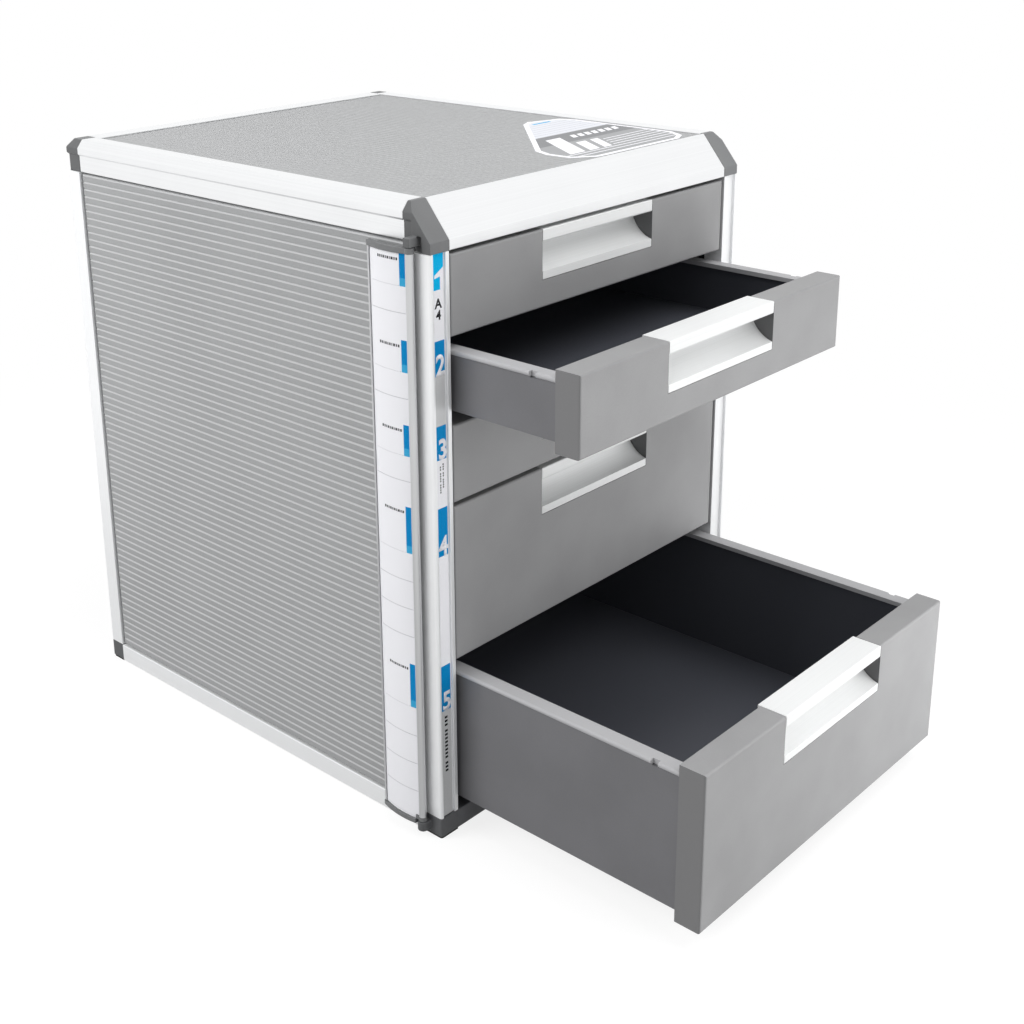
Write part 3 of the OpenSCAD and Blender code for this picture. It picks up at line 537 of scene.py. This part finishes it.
def anodised_aluminium(name, rgb, axis, metallic=1.0, roughness=0.35):
    """Aluminium extruded along axis, then etched and anodised: satin, with faint die lines that
    run the whole length."""
    material, tree, shader = start_material(name, Metallic=metallic)
    place = add_node(tree, "ShaderNodeTexCoord").outputs["Object"]
    # Real die lines are about 0.1 mm apart; these are drawn 0.5 mm apart so that they show.
    across, along = 1 / (0.5 * MM), 1 / (400 * MM)
    scale = [along if letter == axis else across for letter in "XYZ"]
    stretched = add_node(tree, "ShaderNodeMapping", {"Vector": place, "Scale": scale}).outputs[0]
    die_lines = add_node(tree, "ShaderNodeTexNoise", {
        "Vector": stretched, "Scale": 1.0, "Detail": 2.0}).outputs[0]
    cloud = add_node(tree, "ShaderNodeTexNoise", {
        "Vector": place, "Scale": 1 / (30 * MM), "Detail": 2.0}).outputs[0]
    tree.links.new(mottled(tree, die_lines, tinted(rgb, 0.96), tinted(rgb, 1)),
                   shader.inputs["Base Color"])
    vary_roughness(tree, shader, cloud, roughness - ROUGHNESS_DRIFT, roughness + ROUGHNESS_DRIFT)
    surface_relief(tree, shader, die_lines, depth_mm=0.006, strength=0.5)
    return material


def zinc_plated_steel():
    """Steel, zinc plated and passivated: a cool, slightly blotched shine."""
    material, tree, shader = start_material("zinc_plated_steel", Metallic=1.0)
    place = add_node(tree, "ShaderNodeTexCoord").outputs["Object"]
    blotch = add_node(tree, "ShaderNodeTexNoise", {
        "Vector": place, "Scale": 1 / (1.5 * MM), "Detail": 3.0}).outputs[0]
    blue_grey, pale_grey = tinted(linear("#B8BCC0"), 1), tinted(linear("#D6D8DA"), 1)
    plating = add_node(tree, "ShaderNodeMix", {0: blotch, 6: blue_grey, 7: pale_grey}, data_type="RGBA")
    tree.links.new(plating.outputs[2], shader.inputs["Base Color"])
    vary_roughness(tree, shader, blotch, start=0.25, end=0.4)
    return material


def printed_paper(name, rgb):
    """Coated card, offset printed: nearly smooth, with a faint fibre cloud under the ink."""
    material, tree, shader = start_material(name, IOR=1.45, Specular_IOR_Level=0.1)
    place = add_node(tree, "ShaderNodeTexCoord").outputs["Object"]
    fibre = add_node(tree, "ShaderNodeTexNoise", {
        "Vector": place, "Scale": 1 / (1.2 * MM), "Detail": 4.0}).outputs[0]
    tree.links.new(mottled(tree, fibre, tinted(rgb, 0.975), tinted(rgb, 1)),
                   shader.inputs["Base Color"])
    vary_roughness(tree, shader, fibre, start=0.45, end=0.55)
    return material


def clear_pvc():
    """PVC sheet, calendered: clear, glossy and slightly wavy."""
    material, tree, shader = start_material("clear_pvc", IOR=1.53, Alpha=0.03)
    place = add_node(tree, "ShaderNodeTexCoord").outputs["Object"]
    wave = add_node(tree, "ShaderNodeTexNoise", {
        "Vector": place, "Scale": 1 / (25 * MM), "Detail": 1.0}).outputs[0]
    shader.inputs["Base Color"].default_value = tinted(linear("#3F4245"), 1)
    vary_roughness(tree, shader, wave, start=0.05, end=0.12)
    surface_relief(tree, shader, wave, depth_mm=0.1, strength=0.2)
    return material


# ---- Shared making steps ----

def settings():
    """The cabinet's settings in the open scene."""
    return bpy.context.scene.cabinet


def finish_nodes(material, *names):
    """Give these CAD nodes one material."""
    for name in names:
        NODES[name].data.materials.clear()
        NODES[name].data.materials.append(material)


def smooth_shading():
    """Geometry nodes that drop the mesh's stored shading directions and shade its faces smooth."""
    group = bpy.data.node_groups.get("Smooth shading")
    if group:
        return group
    group = bpy.data.node_groups.new("Smooth shading", "GeometryNodeTree")
    for way in ("INPUT", "OUTPUT"):
        group.interface.new_socket("Geometry", in_out=way, socket_type="NodeSocketGeometry")
    mesh = add_node(group, "NodeGroupInput").outputs[0]
    bare = add_node(group, "GeometryNodeRemoveAttribute", {"Geometry": mesh, "Name": "custom_normal"})
    smooth = add_node(group, "GeometryNodeSetShadeSmooth", {"Geometry": bare.outputs[0]})
    add_node(group, "NodeGroupOutput", {0: smooth.outputs[0]})
    return group


def round_edges(name, radius, clamp=True, cut=False):
    """Round a CAD node's sharp edges with modifiers, which leave its own mesh as it is. clamp keeps the
    rounding from running into itself. cut is for a piece whose flat faces have holes or notches:
    they are cut into triangles first, or they would fold over the holes."""
    node = NODES[name]
    node.modifiers.new("Shading", "NODES").node_group = smooth_shading()
    weld = node.modifiers.new("Join faces", "WELD")
    weld.merge_threshold = SAME_POINT
    flat = node.modifiers.new("Whole flat faces", "DECIMATE")
    flat.decimate_type = "DISSOLVE"
    flat.angle_limit = FLAT_ANGLE
    if cut:
        node.modifiers.new("Cut faces", "TRIANGULATE")
    bevel = node.modifiers.new("Round edges", "BEVEL")
    bevel.width = radius
    bevel.segments = settings().edges.segments
    bevel.limit_method = "ANGLE"
    bevel.angle_limit = SHARP_ANGLE
    bevel.use_clamp_overlap = clamp
    bevel.miter_outer = "MITER_ARC"
    node.modifiers.new("Even shading", "WEIGHTED_NORMAL").weight = SHADING_WEIGHT


def drawer_nodes(part):
    """The names of one part of all the drawers."""
    return [f"drawer_{k}_{part}" for k in DRAWERS]


# ---- Pieces ----

class CABINET_OT_boards(Operator):
    """Lacquer the fluted boards and the floor board"""

    bl_idname = "cabinet.boards"
    bl_label = "Boards"

    def execute(self, context):
        colours = settings().colours
        # The side, rear and floor boards take the painted highlight on their ledges
        finish_nodes(lacquered_board("lacquered_board", colours.board, colours.ledge_highlight),
                     "left_side_panel", "right_side_panel", "rear_panel", "bottom_panel")
        # The top board is painted a shade lighter: painted light from above
        finish_nodes(lacquered_board("lacquered_top_board_painted_light", colours.top_board_painted_light, colours.top_board_painted_light),
                     "top_panel")
        return {"FINISHED"}


class CABINET_OT_extrusions(Operator):
    """Anodise the profiles, posts and rails, each along its own length"""

    bl_idname = "cabinet.extrusions"
    bl_label = "Profiles, posts and rails"

    def execute(self, context):
        colours, edges = settings().colours, settings().edges
        top_runs = {"X": ["top_front_profile", "top_rear_profile"],
                    "Y": ["top_left_profile", "top_right_profile"]}
        frame_runs = {"X": ["bottom_rear_rail"],
                      "Y": ["bottom_left_rail", "bottom_right_rail"],
                      "Z": ["front_left_post", "front_right_post", "rear_left_post", "rear_right_post"]}
        kinds = (("profile", PROFILE_METALLIC, edges.profile, top_runs),
                 ("post", POST_METALLIC, edges.post, frame_runs))
        for kind, metallic, rounding, runs in kinds:
            for axis, names in runs.items():
                metal = anodised_aluminium(f"anodised_{kind}_{axis}", colours.aluminium, axis, metallic)
                finish_nodes(metal, *names)
                for name in names:
                    round_edges(name, rounding)
        finish_nodes(glass_filled_nylon("dark_nylon", colours.dark_rail), "bottom_front_rail")
        round_edges("bottom_front_rail", edges.post)
        return {"FINISHED"}


class CABINET_OT_corners(Operator):
    """Mould the corner caps and feet, and their rubber soles"""

    bl_idname = "cabinet.corners"
    bl_label = "Caps and feet"

    def execute(self, context):
        colours, edges = settings().colours, settings().edges
        # The caps take painted shade on their side faces
        nylons = {"cap": cap_nylon(colours.corner, colours.corner_side_shade),
                  "foot": glass_filled_nylon("glass_filled_nylon_foot", colours.foot)}
        for part, nylon in nylons.items():
            names = [f"{end}_{side}_{part}" for end in ("front", "rear") for side in ("left", "right")]
            finish_nodes(nylon, *names)
            for name in names:
                round_edges(name, edges.corner_piece, clamp=False)
        finish_nodes(moulded_rubber(), "foot_soles")
        return {"FINISHED"}


class CABINET_OT_runners(Operator):
    """Mould the black runner panels"""

    bl_idname = "cabinet.runners"
    bl_label = "Runner panels"

    def execute(self, context):
        finish_nodes(black_polypropylene(settings().colours.runner),
                     "left_runner_panel", "right_runner_panel")
        return {"FINISHED"}


class CABINET_OT_drawers(Operator):
    """Mould the drawer fronts and trays, and fit them with zinc-plated screws"""

    bl_idname = "cabinet.drawers"
    bl_label = "Drawer fronts and trays"

    def execute(self, context):
        colours, edges = settings().colours, settings().edges
        half_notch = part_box("drawer_1_handle")[1].x + NOTCH_SLACK
        # The fronts take painted shade on their ends and on the ends of the handle's notch
        finish_nodes(front_abs(colours.front, colours.front_end_shade, colours.notch, half_notch),
                     *drawer_nodes("front"))
        for name in drawer_nodes("front"):
            round_edges(name, edges.front, cut=True)
        for name in drawer_nodes("tray"):
            low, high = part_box(name)
            # Each tray takes painted light on its rim and painted shade inside
            plastic = tray_abs(f"moulded_abs_{name}", colours.tray, colours.tray_rim_painted_light,
                               colours.tray_inside_painted_shade, low=low.z + TRAY_FLOOR, high=high.z - TRAY_RIM,
                               wall=high.x - TRAY_SIDE)
            finish_nodes(plastic, name)
            round_edges(name, edges.tray)
        finish_nodes(zinc_plated_steel(), *drawer_nodes("screws"))
        return {"FINISHED"}


class CABINET_OT_handles(Operator):
    """Anodise the extruded handles"""

    bl_idname = "cabinet.handles"
    bl_label = "Handles"

    def execute(self, context):
        metal = anodised_aluminium("etched_handle_aluminium", settings().colours.handle, "X",
                                   HANDLE_METALLIC, HANDLE_ROUGHNESS)
        finish_nodes(metal, *drawer_nodes("handle"))
        for name in drawer_nodes("handle"):
            round_edges(name, settings().edges.handle)
        return {"FINISHED"}


class CABINET_OT_index_plate(Operator):
    """Finish the index plate with its window and its end caps"""

    bl_idname = "cabinet.index_plate"
    bl_label = "Index plate"

    def execute(self, context):
        colours, edges = settings().colours, settings().edges
        finish_nodes(anodised_aluminium("anodised_index_plate", colours.index_plate, "Z"),
                     "index_plate")
        finish_nodes(clear_pvc(), "index_window", "number_strip_window")
        finish_nodes(glass_filled_nylon("index_cap_nylon", colours.index_cap),
                     "index_top_cap", "index_bottom_cap")
        for name in ("index_top_cap", "index_bottom_cap"):
            round_edges(name, edges.index_cap)
        return {"FINISHED"}


# ---- Prints ----

class Surface(NamedTuple):
    """A printed face. point turns two places on the face and a height over it into a point in
    space, and folds are the places of the first kind at which the face bends."""

    body: str
    point: Callable
    folds: tuple = ()


def strip_face():
    """The front of the number strip, by x and z."""
    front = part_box("number_strip")[0].y
    return Surface("cabinet", lambda x, z, height: Vector((x, front - height, z)))


def label_face():
    """The top of the label, by x and y."""
    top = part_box("top_label")[1].z
    return Surface("cabinet", lambda x, y, height: Vector((x, y, top + height)))


def card_face():
    """The curved outer face of the index card, by y and z, bent where the card's mesh bends."""
    mesh = NODES["index_card"].data
    outer = {index for face in mesh.polygons if face.normal.x < -CARD_TURN for index in face.vertices}
    corners = [mesh.vertices[index].co for index in outer]
    bends = sorted({(round(corner.y, 7), round(corner.x, 7)) for corner in corners})
    last = len(bends) - 1

    def point(y, z, height):
        right = next((i for i in range(1, last) if y <= bends[i][0]), last)
        (y0, x0), (y1, x1) = bends[right - 1], bends[right]
        return Vector((x0 + (x1 - x0) * (y - y0) / (y1 - y0) - height, y, z))

    return Surface("index_plate", point, tuple(y for y, _ in bends[1:-1]))


def rectangle(left, low, width, height):
    """The outline of a rectangle from its lower left corner."""
    return [(left, low), (left + width, low), (left + width, low + height), (left, low + height)]


def clipped(outline, normal, limit):
    """The part of a convex outline on which the place along normal is under limit."""
    kept = []
    for start, end in zip(outline, outline[1:] + outline[:1]):
        start_past = start[0] * normal[0] + start[1] * normal[1] - limit
        end_past = end[0] * normal[0] + end[1] * normal[1] - limit
        if start_past <= 0:
            kept.append(start)
        if start_past * end_past < 0:
            way = start_past / (start_past - end_past)
            kept.append(tuple(near + (far - near) * way for near, far in zip(start, end)))
    return kept


def inset(outline, distance):
    """A convex outline, listed anticlockwise, moved in by distance."""
    shape = outline
    for start, end in zip(outline, outline[1:] + outline[:1]):
        along = Vector(end) - Vector(start)
        outward = Vector((along.y, -along.x)).normalized()
        shape = clipped(shape, outward, outward.dot(Vector(start)) - distance)
    return shape


def draw_characters(characters, height, stretch, align):
    """A flat mesh of bold characters, each with its anchor. stretch widens them, and align is the
    part of a character's width that lies left of its anchor."""
    drawing = bmesh.new()
    for text, (anchor, low) in characters:
        curve = bpy.data.curves.new("character", "FONT")
        curve.body = text
        curve.offset = CHARACTER_BOLD
        letter = bpy.data.objects.new("character", curve)
        mesh = bpy.data.meshes.new_from_object(letter)
        corners = [vert.co.xy for vert in mesh.vertices]
        low_corner = Vector([min(places) for places in zip(*corners)])
        size = Vector([max(places) for places in zip(*corners)]) - low_corner
        scale = height / size.y
        for vert in mesh.vertices:
            step = vert.co.xy - low_corner
            vert.co = (anchor + (step.x - align * size.x) * scale * stretch, low + step.y * scale, 0)
        drawing.from_mesh(mesh)
        bpy.data.objects.remove(letter)
        bpy.data.meshes.remove(mesh)
        bpy.data.curves.remove(curve)
    return drawing


def print_on(surface, name, ink, drawing, layers=1):
    """Print a flat drawing on a surface, as a closed layer of ink."""
    for fold in surface.folds:
        everything = drawing.verts[:] + drawing.edges[:] + drawing.faces[:]
        bmesh.ops.bisect_plane(drawing, geom=everything, plane_co=(fold, 0, 0), plane_no=(1, 0, 0))
    raised = bmesh.ops.extrude_face_region(drawing, geom=drawing.faces[:], use_keep_orig=True)["geom"]
    for part in raised:
        if isinstance(part, bmesh.types.BMVert):
            part.co.z = layers * settings().prints.ink
    for vert in drawing.verts:
        vert.co = surface.point(*vert.co)
    bmesh.ops.recalc_face_normals(drawing, faces=drawing.faces[:])
    mesh = bpy.data.meshes.new(name)
    drawing.to_mesh(mesh)
    drawing.free()
    mesh.materials.append(printed_paper(f"{name}_ink", ink))
    piece = bpy.data.objects.new(name, mesh)
    bpy.context.scene.collection.objects.link(piece)
    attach(piece, surface.body)


def print_outlines(surface, name, ink, outlines, layers=1):
    """Print flat outlines on a surface, with one face for each."""
    drawing = bmesh.new()
    for outline in outlines:
        drawing.faces.new([drawing.verts.new((*place, 0)) for place in outline])
    print_on(surface, name, ink, drawing, layers)


def block_tops(highest):
    """Where the block or bar of each drawer starts, on a piece that ends at highest."""
    return [min(top + settings().prints.block_rise, highest) for top in DRAWER_TOPS]


def small_print(column, left, top):
    """The outlines of the dashes that stand for a column of small print."""
    marks = []
    for word in column.words:
        for _ in range(word):
            marks.append(rectangle(left, top - column.dash, column.width, column.dash))
            top -= column.dash + column.gap
        top -= column.dash
    return marks


class CABINET_OT_number_strip(Operator):
    """Print a numbered block beside each drawer on the strip in the front left post"""

    bl_idname = "cabinet.number_strip"
    bl_label = "Number strip"

    def execute(self, context):
        colours, prints = settings().colours, settings().prints
        surface = strip_face()
        low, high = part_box("number_strip")
        finish_nodes(printed_paper("strip_paper", colours.card), "number_strip")
        width = high.x - low.x
        tops = block_tops(high.z)
        feet = [top - (prints.shallow_block if is_shallow(k) else prints.deep_block)
                for k, top in zip(DRAWERS, tops)]
        blocks = [rectangle(low.x, foot, width, top - foot) for foot, top in zip(feet, tops)]
        print_outlines(surface, "strip_first_block", colours.bright_blue, blocks[:1])
        print_outlines(surface, "strip_blocks", colours.blue, blocks[1:])
        # One silver field lies between the second block and the third, and one under the last block.
        silver = [rectangle(low.x, tops[2], width, feet[1] - tops[2]),
                  rectangle(low.x, low.z, width, feet[4] - low.z)]
        print_outlines(surface, "strip_silver_fields", colours.silver_ink, silver)
        one = [(high.x + x * prints.numeral_one, feet[0] + z * prints.numeral) for x, z in NUMERAL_ONE]
        print_outlines(surface, "strip_numeral_one", colours.card, [one], layers=2)
        numerals = [(str(k), (high.x, feet[k - 1])) for k in DRAWERS[1:]]
        print_on(surface, "strip_numerals", colours.card,
                 draw_characters(numerals, prints.numeral, prints.numeral_stretch, align=1), layers=2)
        middle = (low.x + high.x) / 2
        paper_size = [(text, (middle, feet[0] - STRIP_FORMAT_DROP - row * STRIP_FORMAT_STEP))
                      for row, text in enumerate("A4")]
        print_on(surface, "strip_paper_size", colours.black_ink,
                 draw_characters(paper_size, STRIP_FORMAT_SIZE, stretch=1, align=0.5))
        marks = []
        for column in STRIP_COLUMNS:
            top = feet[column.drawer - 1] - column.drop
            marks += small_print(column, low.x + width * column.left, top)
        print_outlines(surface, "strip_small_print", colours.black_ink, marks, layers=2)
        return {"FINISHED"}


class CABINET_OT_index_card(Operator):
    """Print the bars, writing lines and small print of the index card"""

    bl_idname = "cabinet.index_card"
    bl_label = "Index card"

    def execute(self, context):
        colours, prints = settings().colours, settings().prints
        surface = card_face()
        low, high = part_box("index_card")
        finish_nodes(printed_paper("index_card_paper", colours.card), "index_card")
        left, right = low.y + prints.bar_margin, high.y - prints.bar_margin
        bars, feet, dots, words = [], [], [], []
        lines = [rectangle(low.y, low.z, prints.line, high.z - low.z)]
        tops = block_tops(high.z)
        for k, top, next_top in zip(DRAWERS, tops, tops[1:] + [low.z]):
            height = prints.shallow_bar if is_shallow(k) else prints.deep_bar
            foot = top - height
            bars.append(rectangle(left, foot + prints.bar_foot, prints.bar, height - prints.bar_foot))
            feet.append(rectangle(left, foot, prints.bar, prints.bar_foot))
            start = left + prints.bar + prints.line
            dash = CARD_DASH * prints.line
            while start < right - dash:
                dots.append(rectangle(start, foot, dash, prints.line))
                start += 2 * dash
            rows = SHALLOW_ROWS if is_shallow(k) else DEEP_ROWS
            for row in range(1, rows):
                at = foot + (next_top - foot) * row / rows
                lines.append(rectangle(left, at, right - left, prints.line))
            start = left + prints.bar + CARD_PRINT_START
            for word in CARD_WORDS:
                words.append(rectangle(start, top - CARD_PRINT_DROP, word, CARD_PRINT_HEIGHT))
                start += word + CARD_WORD_GAP
        print_outlines(surface, "card_bars", colours.blue, bars)
        print_outlines(surface, "card_bar_feet", colours.pale_blue, feet)
        print_outlines(surface, "card_lines", colours.line_ink, lines + dots)
        print_outlines(surface, "card_small_print", colours.black_ink, words)
        return {"FINISHED"}


def label_outline():
    """The outline of the label, anticlockwise."""
    mesh = NODES["top_label"].data
    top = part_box("top_label")[1].z
    corners = {(round(vert.co.x, 6), round(vert.co.y, 6)) for vert in mesh.vertices
               if vert.co.z > top - LABEL_SLACK}
    middle_x, middle_y = (sum(places) / len(corners) for places in zip(*corners))
    return sorted(corners, key=lambda corner: math.atan2(corner[1] - middle_y, corner[0] - middle_x))


def slanted(left, low, width, rise):
    """The outline of a bar that leans to the right, from its lower left corner."""
    lean, top = rise * LABEL_LEAN, low + rise
    return [(left, low), (left + width, low), (left + width + lean, top), (left + lean, top)]


def band(outline, low, high):
    """The part of a convex outline between two places along its second axis."""
    return clipped(clipped(outline, (0, 1), high), (0, -1), -low)


def ruled(outline, start, rows, width):
    """Lines across a convex outline, on these rows counted from start."""
    feet = [start + row * LABEL_ROW for row in rows]
    return [band(outline, foot, foot + width) for foot in feet]


class CABINET_OT_label(Operator):
    """Print the fields, lines and plain shapes of the label on the top board"""

    bl_idname = "cabinet.label"
    bl_label = "Label"

    def execute(self, context):
        colours, prints = settings().colours, settings().prints
        surface = label_face()
        low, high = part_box("top_label")
        finish_nodes(printed_paper("label_paper", colours.card), "top_label")
        field = inset(label_outline(), prints.label_border)
        split, line = prints.label_split, prints.label_line
        print_outlines(surface, "label_rear_field", colours.pale_ink, [band(field, split, high.y)])
        print_outlines(surface, "label_front_field", colours.grey_ink, [band(field, low.y, split)])
        print_outlines(surface, "label_band", colours.dark_grey_ink,
                       [band(field, split - LABEL_BAND - line, split - line)], layers=2)
        print_outlines(surface, "label_rear_lines", colours.line_ink,
                       ruled(field, split, LABEL_REAR_ROWS, line / 2), layers=2)
        dash = rectangle(*(high.xy - LABEL_DASH_PLACE), *LABEL_DASH)
        print_outlines(surface, "label_dash", colours.pale_blue, [dash], layers=2)
        front_edge = low.y + prints.label_border
        foot = front_edge + LABEL_BAR_ROW * LABEL_ROW
        slant = foot * LABEL_LEAN - LABEL_SHORT_START
        shapes = ruled(field, front_edge, LABEL_FULL_ROWS, line)
        shapes += [clipped(row, (-1, LABEL_LEAN), slant)
                   for row in ruled(field, front_edge, LABEL_SHORT_ROWS, line)]
        shapes += [slanted(start, foot, width, rise) for start, width, rise in LABEL_BARS]
        for block in range(LABEL_BLOCKS):
            start = LABEL_BLOCK_START + block * LABEL_BLOCK_STEP
            shapes.append(slanted(start, split - LABEL_BLOCK_DROP, *LABEL_BLOCK))
        print_outlines(surface, "label_shapes", colours.card, shapes, layers=3)
        return {"FINISHED"}


# ---- Studio ----

def rays(tree, *kinds):
    """1 for rays of these kinds, and 0 for all others."""
    ray = add_node(tree, "ShaderNodeLightPath").outputs
    shown = ray[f"Is {kinds[0]} Ray"]
    for kind in kinds[1:]:
        shown = add_node(tree, "ShaderNodeMath", {0: shown, 1: ray[f"Is {kind} Ray"]},
                         operation="MAXIMUM").outputs[0]
    return shown


def shown_rays(tree):
    """1 for what the camera, a mirror or a clear sheet shows, and 0 for what only lights."""
    return rays(tree, "Camera", "Glossy", "Transmission")


def studio_world(sky):
    """A white room: full white to the camera and in reflections, and softer on matt surfaces."""
    world = bpy.data.worlds.new("Studio")
    bpy.context.scene.world = world
    world.use_nodes = True
    tree = world.node_tree
    strength = add_node(tree, "ShaderNodeMapRange",
                        {"Value": shown_rays(tree), "To Min": sky, "To Max": 1.0})
    background = tree.nodes["Background"]
    background.inputs["Color"].default_value = (1, 1, 1, 1)
    tree.links.new(strength.outputs["Result"], background.inputs["Strength"])


def floor_paint(studio):
    """Matt white paint with a soft shadow near the cabinet, which turns into the room's white."""
    material = bpy.data.materials.new("matt_white_floor")
    material.use_nodes = True
    tree = material.node_tree
    tree.nodes.clear()
    shown = shown_rays(tree)
    place = add_node(tree, "ShaderNodeTexCoord").outputs["Object"]
    distance = add_node(tree, "ShaderNodeVectorMath", {0: place}, operation="LENGTH").outputs["Value"]
    far = add_node(tree, "ShaderNodeMapRange", {
        "Value": distance, "From Min": studio.floor_near, "From Max": studio.floor_far},
        interpolation_type="SMOOTHSTEP").outputs["Result"]
    lighting, showing = [[part] * 3 + [1] for part in (studio.floor_bounce, studio.floor_matt)]
    white = add_node(tree, "ShaderNodeMix", {0: shown, 6: lighting, 7: showing}, data_type="RGBA")
    matt = add_node(tree, "ShaderNodeBsdfDiffuse", {"Color": white.outputs[2]}).outputs[0]
    seen = add_node(tree, "ShaderNodeMath", {
        0: rays(tree, "Camera", "Transmission"), 1: studio.floor_glow}, operation="MULTIPLY").outputs[0]
    strength = add_node(tree, "ShaderNodeMath", {
        0: rays(tree, "Glossy"), 1: studio.floor_mirrored, 2: seen},
        operation="MULTIPLY_ADD").outputs[0]
    light = add_node(tree, "ShaderNodeEmission", {"Strength": strength}).outputs[0]
    near = add_node(tree, "ShaderNodeAddShader", {0: matt, 1: light}).outputs[0]
    plain = add_node(tree, "ShaderNodeMath", {0: shown, 1: far}, operation="MULTIPLY").outputs[0]
    room = add_node(tree, "ShaderNodeEmission").outputs[0]
    both = add_node(tree, "ShaderNodeMixShader", {0: plain, 1: near, 2: room}).outputs[0]
    add_node(tree, "ShaderNodeOutputMaterial", {"Surface": both})
    return material


def add_floor(studio):
    """A wide floor just under the soles."""
    mesh = bpy.data.meshes.new("floor")
    half, z = studio.floor_half, -FLOOR_GAP
    mesh.from_pydata([(-half, -half, z), (half, -half, z), (half, half, z), (-half, half, z)],
                     [], [(0, 1, 2, 3)])
    mesh.materials.append(floor_paint(studio))
    floor = bpy.data.objects.new("floor", mesh)
    bpy.context.scene.collection.objects.link(floor)


def add_lamp(name, place, target, size, watts):
    """A square soft lamp that points at target. Mirrors show the white room instead of it."""
    light = bpy.data.lights.new(name, "AREA")
    light.size = size
    light.energy = watts
    lamp = bpy.data.objects.new(name, light)
    lamp.location = place
    lamp.rotation_euler = (Vector(target) - Vector(place)).to_track_quat("-Z", "Y").to_euler()
    lamp.visible_glossy = False
    lamp.visible_camera = False
    bpy.context.scene.collection.objects.link(lamp)


def add_camera(studio):
    """The camera, to the front left and a little above the cabinet."""
    data = bpy.data.cameras.new("camera")
    data.lens = studio.lens
    data.shift_x = studio.shift_x
    data.shift_y = studio.shift_y
    data.clip_end = CAMERA_REACH
    camera = bpy.data.objects.new("camera", data)
    camera.location = studio.camera_place
    camera.rotation_euler = studio.camera_turn
    bpy.context.scene.collection.objects.link(camera)
    bpy.context.scene.camera = camera


class CABINET_OT_studio(Operator):
    """Set up the floor, the lamps, the white room and the camera"""

    bl_idname = "cabinet.studio"
    bl_label = "Studio"

    def execute(self, context):
        studio = settings().studio
        bpy.context.scene.view_settings.view_transform = "Standard"
        studio_world(studio.sky)
        add_floor(studio)
        middle = (CAD_BOUNDS[0] + CAD_BOUNDS[1]) / 2
        add_lamp("key_lamp", studio.key_place, middle, studio.key_size, studio.key_power)
        add_lamp("side_lamp", studio.side_place, middle, studio.side_size, studio.side_power)
        add_lamp("fill_lamp", studio.fill_place, middle, studio.fill_size, studio.fill_power)
        low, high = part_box("drawer_5_front")
        add_lamp("low_lamp", studio.low_place, (low + high) / 2, studio.low_size, studio.low_power)
        add_camera(studio)
        return {"FINISHED"}


# ---- Panel and registration ----

STEPS = (CABINET_OT_boards, CABINET_OT_extrusions, CABINET_OT_corners, CABINET_OT_runners,
         CABINET_OT_drawers, CABINET_OT_handles, CABINET_OT_index_plate, CABINET_OT_number_strip,
         CABINET_OT_index_card, CABINET_OT_label, CABINET_OT_studio)


class CABINET_PT_panel(Panel):
    """Lists the making steps"""

    bl_idname = "CABINET_PT_panel"
    bl_label = "Drawer cabinet"
    bl_space_type = "VIEW_3D"
    bl_region_type = "UI"
    bl_category = "Cabinet"

    def draw(self, context):
        for step in STEPS:
            self.layout.operator(step.bl_idname)


CLASSES = (CabinetColours, CabinetEdges, CabinetPrints, CabinetStudio, CabinetSettings,
           *STEPS, CABINET_PT_panel)


def register():
    """Register the classes and the scene's settings."""
    for cls in CLASSES:
        bpy.utils.register_class(cls)
    bpy.types.Scene.cabinet = PointerProperty(type=CabinetSettings)


def unregister():
    """Take the scene's settings and the classes away again."""
    del bpy.types.Scene.cabinet
    for cls in reversed(CLASSES):
        bpy.utils.unregister_class(cls)


def main():
    """Make every piece in order."""
    register()
    for step in STEPS:
        group, operator = step.bl_idname.split(".")
        getattr(getattr(bpy.ops, group), operator)()


if __name__ == "__main__":
    main()
